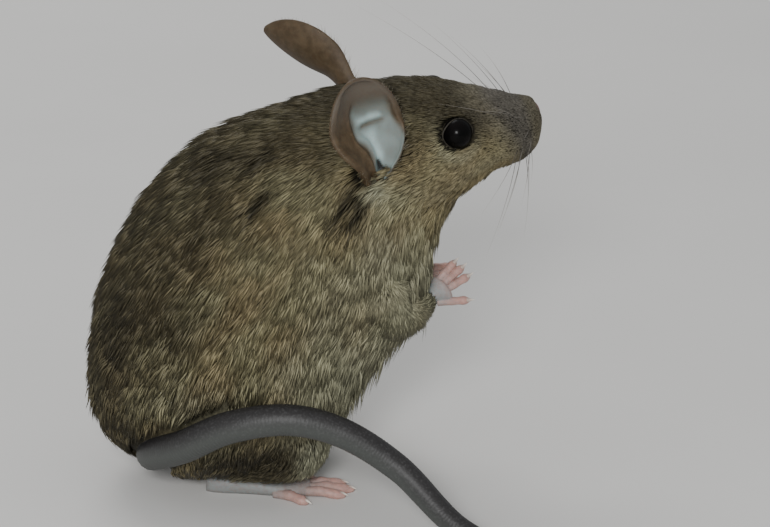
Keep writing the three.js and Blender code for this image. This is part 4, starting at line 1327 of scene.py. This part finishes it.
# ---------------------------------------------------------------- operators


class MOUSE_OT_skin(bpy.types.Operator):
    """One closed skin over the whole body, in place of every flesh node"""

    bl_idname = "mouse.skin"
    bl_label = "Skin"

    def execute(self, context):
        choices = [coat_skin_finish(), ear_finish(), foot_finish(), tail_finish(), lid_finish()]
        coat, ear, foot, tail, lid = ((choices, place) for place in range(len(choices)))
        pieces = [body_skin(coat)]
        for name, side in SIDES:
            hind = HIND_LEG * [1, side, 1, 1, 1]
            pieces.append(leg_skin("skin_hind_leg", hind, HIND_PLACE, HIND_DEPTH, coat))
            pieces.append(leg_skin("skin_foreleg", FORELEGS[name], FORE_PLACE, FORE_DEPTH, coat))
            pieces.append(foot_skin(side, foot))
            pieces.append(paw_skin(name, side, foot))
            for line in toe_lines(name, side):
                pieces.append(digit_skin("skin_digit", *line, foot))
            pieces.append(ear_skin(name, side, ear))
        pieces.append(tail_skin(tail))
        pieces += [lid_skin(name, lid) for name, _ in SIDES]
        kept(joined(pieces, "skin"), "coat", *FLESH)
        return {"FINISHED"}


class MOUSE_OT_eyes(bpy.types.Operator):
    """The two eyes, as glossy black balls that are slightly fuller in front"""

    bl_idname = "mouse.eyes"
    bl_label = "Eyes"

    def execute(self, context):
        material = eye_finish()
        for name, side in SIDES:
            axis, wide, high = eye_axes(side)
            polar = np.linspace(0.02, math.pi - 0.02, EYE_RINGS)[:, None]
            angle = circle(EYE_SIDES)
            radius = EYE_RADIUS * (0.985 + 0.015 * np.cos(polar))
            ring = moved(0, (wide, np.cos(angle)), (high, np.sin(angle)))
            p = moved(EYES[name][0], (axis, radius * np.cos(polar)), (ring, radius * np.sin(polar)))
            kept(closed_tube("eyeball_" + name, p, material), "eye", "eye_" + name)
        return {"FINISHED"}


class MOUSE_OT_body_coat(bpy.types.Operator):
    """The coat of the body and head, in eight pieces"""

    bl_idname = "mouse.body_coat"
    bl_label = "Coat of the body"

    def execute(self, context):
        balls, material = obstacles(), tuft_finish()
        for seed, row in enumerate(BODY_COATS):
            body_coat(*row, seed, balls, material)
        return {"FINISHED"}


class MOUSE_OT_leg_coat(bpy.types.Operator):
    """The coat of the legs, in two pieces"""

    bl_idname = "mouse.leg_coat"
    bl_label = "Coat of the legs"

    def execute(self, context):
        balls, material = obstacles(), bpy.data.materials["Mouse hair"]
        for row in LEG_COATS:
            leg_coat(*row, balls, material)
        return {"FINISHED"}


class MOUSE_OT_claws(bpy.types.Operator):
    """A curved claw on every toe and finger"""

    bl_idname = "mouse.claws"
    bl_label = "Claws"

    def execute(self, context):
        lines = [line for name, side in SIDES for line in toe_lines(name, side)]
        base = np.array([b + h * (n * 0.98) - d * (r * 0.1) for b, h, d, n, r in lines])
        heading = np.array([unit(h - d * 0.1) for _, h, d, _, _ in lines])
        bend = np.array([d * 0.42 for _, _, d, _, _ in lines])
        material = horn_finish("Mouse claw", (0.42, 0.33, 0.28), (0.75, 0.7, 0.62), 0.3)
        length = np.full(len(lines), CLAW_LENGTH)
        tapers("claws", base, heading, bend, length, CLAW_RADIUS, 9, 8, material, "claw")
        return {"FINISHED"}


class MOUSE_OT_whiskers(bpy.types.Operator):
    """Long whiskers in rows on the muzzle, and short hairs on the rims of the ears"""

    bl_idname = "mouse.whiskers"
    bl_label = "Whiskers"

    def execute(self, context):
        rng = np.random.default_rng(SEED + 50)
        count = context.scene.mouse_coat.whiskers
        row, column = np.arange(count) % WHISKER_ROWS, np.arange(count) // WHISKER_ROWS
        hairs = []
        for side in (1, -1):
            t = WHISKER_FRONT - WHISKER_STEP * column + rng.normal(0, 0.003, count)
            angle = WHISKER_TOP - row * WHISKER_TURN + rng.normal(0, 0.03, count)
            angle = angle if side > 0 else math.pi - angle
            root = body_point(t, angle, -coat_depth(t) - TUFT_SUNK)
            normal = unit(body_point(t, angle, 1.0) - root)
            back = unit(body_point(t - 0.02, angle, 0.0) - body_point(t, angle, 0.0))
            sweep = back * (0.25 + 0.12 * column)[:, None]
            heading = unit(normal + sweep + rng.normal(0, 0.07, (count, 3)))
            bend = back * rng.uniform(0.12, 0.3, (count, 1))
            bend = bend + np.array([0, 0, -1]) * rng.uniform(0, 0.12, (count, 1))
            length = (WHISKER_LENGTH + WHISKER_GROWTH * column + rng.normal(0, 0.8, count)).clip(5, 17)
            hairs.append((root, heading, bend, length))
        hairs = [np.concatenate(v) for v in zip(*hairs)]
        clear = beside_eyes(*hairs)
        whisker = horn_finish("Mouse whisker", (0.05, 0.042, 0.034), (0.32, 0.29, 0.25), 0.35)
        tapers("whiskers", *(v[clear] for v in hairs), WHISKER_RADIUS, 14, 5, whisker, "whisker")
        hairs = [np.concatenate(v) for v in zip(*(ear_hairs(rng, name, EAR_HAIRS) for name in EARS))]
        ear_hair = horn_finish("Mouse ear hair", (0.1, 0.08, 0.05), (0.26, 0.235, 0.17), 0.5)
        tapers("ear_hairs", *hairs, EAR_HAIR_RADIUS, 5, 4, ear_hair, "whisker")
        return {"FINISHED"}


class MOUSE_OT_stage(bpy.types.Operator):
    """A pale floor, soft lights and the camera"""

    bl_idname = "mouse.stage"
    bl_label = "Stage"

    def execute(self, context):
        s, scene = context.scene.mouse_stage, context.scene
        half = s.floor_size / 2 / MM
        corners = np.array([[-half, -half, 0], [half, -half, 0], [half, half, 0], [-half, half, 0]]) - SHIFT
        f = Finish("Floor", Specular_IOR_Level=0.2)
        material = f.finish(Base_Color=f.mix(f.noise(30, 3), *FLOOR_GREYS), Roughness=0.8)
        mesh_object("floor", corners, np.array([[0, 1, 2, 3]]), material, smooth_faces=False)
        world = bpy.data.worlds.new("Surroundings")
        scene.world = world
        world.use_nodes = True
        background = world.node_tree.nodes["Background"]
        background.inputs["Color"].default_value = SKY
        background.inputs["Strength"].default_value = s.world
        target = Vector(CAMERA_TARGET + SHIFT) * MM
        for name, place, size, power in LIGHTS:
            light = bpy.data.lights.new(name, "AREA")
            light.size, light.energy = size, power * s.key_power
            lamp = bpy.data.objects.new(name, light)
            scene.collection.objects.link(lamp)
            lamp.location = target + Vector(place)
            lamp.rotation_euler = (-Vector(place)).to_track_quat("-Z", "Y").to_euler()
        a, e = math.radians(CAMERA_AZIMUTH), math.radians(CAMERA_ELEVATION)
        back = Vector((math.sin(a) * math.cos(e), -math.cos(a) * math.cos(e), math.sin(e)))
        data = bpy.data.cameras.new("Camera")
        data.lens, data.sensor_width = CAMERA_LENS, CAMERA_SENSOR
        data.clip_start = 0.01
        camera = bpy.data.objects.new("Camera", data)
        scene.collection.objects.link(camera)
        camera.location = target + back * (CAMERA_DISTANCE * MM)
        camera.rotation_euler = (-back).to_track_quat("-Z", "Y").to_euler()
        scene.camera = camera
        return {"FINISHED"}


OPERATORS = (
    MOUSE_OT_skin,
    MOUSE_OT_eyes,
    MOUSE_OT_body_coat,
    MOUSE_OT_leg_coat,
    MOUSE_OT_claws,
    MOUSE_OT_whiskers,
    MOUSE_OT_stage,
)


class MOUSE_PT_panel(bpy.types.Panel):
    """The steps that make the mouse, and its settings"""

    bl_idname = "MOUSE_PT_panel"
    bl_label = "House mouse"
    bl_space_type = "VIEW_3D"
    bl_region_type = "UI"
    bl_category = "Mouse"

    def draw(self, context):
        scene = context.scene
        for group in (scene.mouse_colours, scene.mouse_coat, scene.mouse_stage):
            for key in group.__annotations__:
                self.layout.prop(group, key)
        for operator in OPERATORS:
            self.layout.operator(operator.bl_idname)


GROUPS = (("mouse_colours", MouseColours), ("mouse_coat", MouseCoat), ("mouse_stage", MouseStage))


def register():
    for kind in [group for _, group in GROUPS] + list(OPERATORS) + [MOUSE_PT_panel]:
        bpy.utils.register_class(kind)
    for name, group in GROUPS:
        setattr(bpy.types.Scene, name, bpy.props.PointerProperty(type=group))


def unregister():
    for name, _ in GROUPS:
        delattr(bpy.types.Scene, name)
    for kind in [MOUSE_PT_panel] + list(OPERATORS) + [group for _, group in GROUPS]:
        bpy.utils.unregister_class(kind)


def main():
    register()
    bpy.ops.mouse.skin()
    bpy.ops.mouse.eyes()
    bpy.ops.mouse.body_coat()
    bpy.ops.mouse.leg_coat()
    bpy.ops.mouse.claws()
    bpy.ops.mouse.whiskers()
    bpy.ops.mouse.stage()


if __name__ == "__main__":
    main()
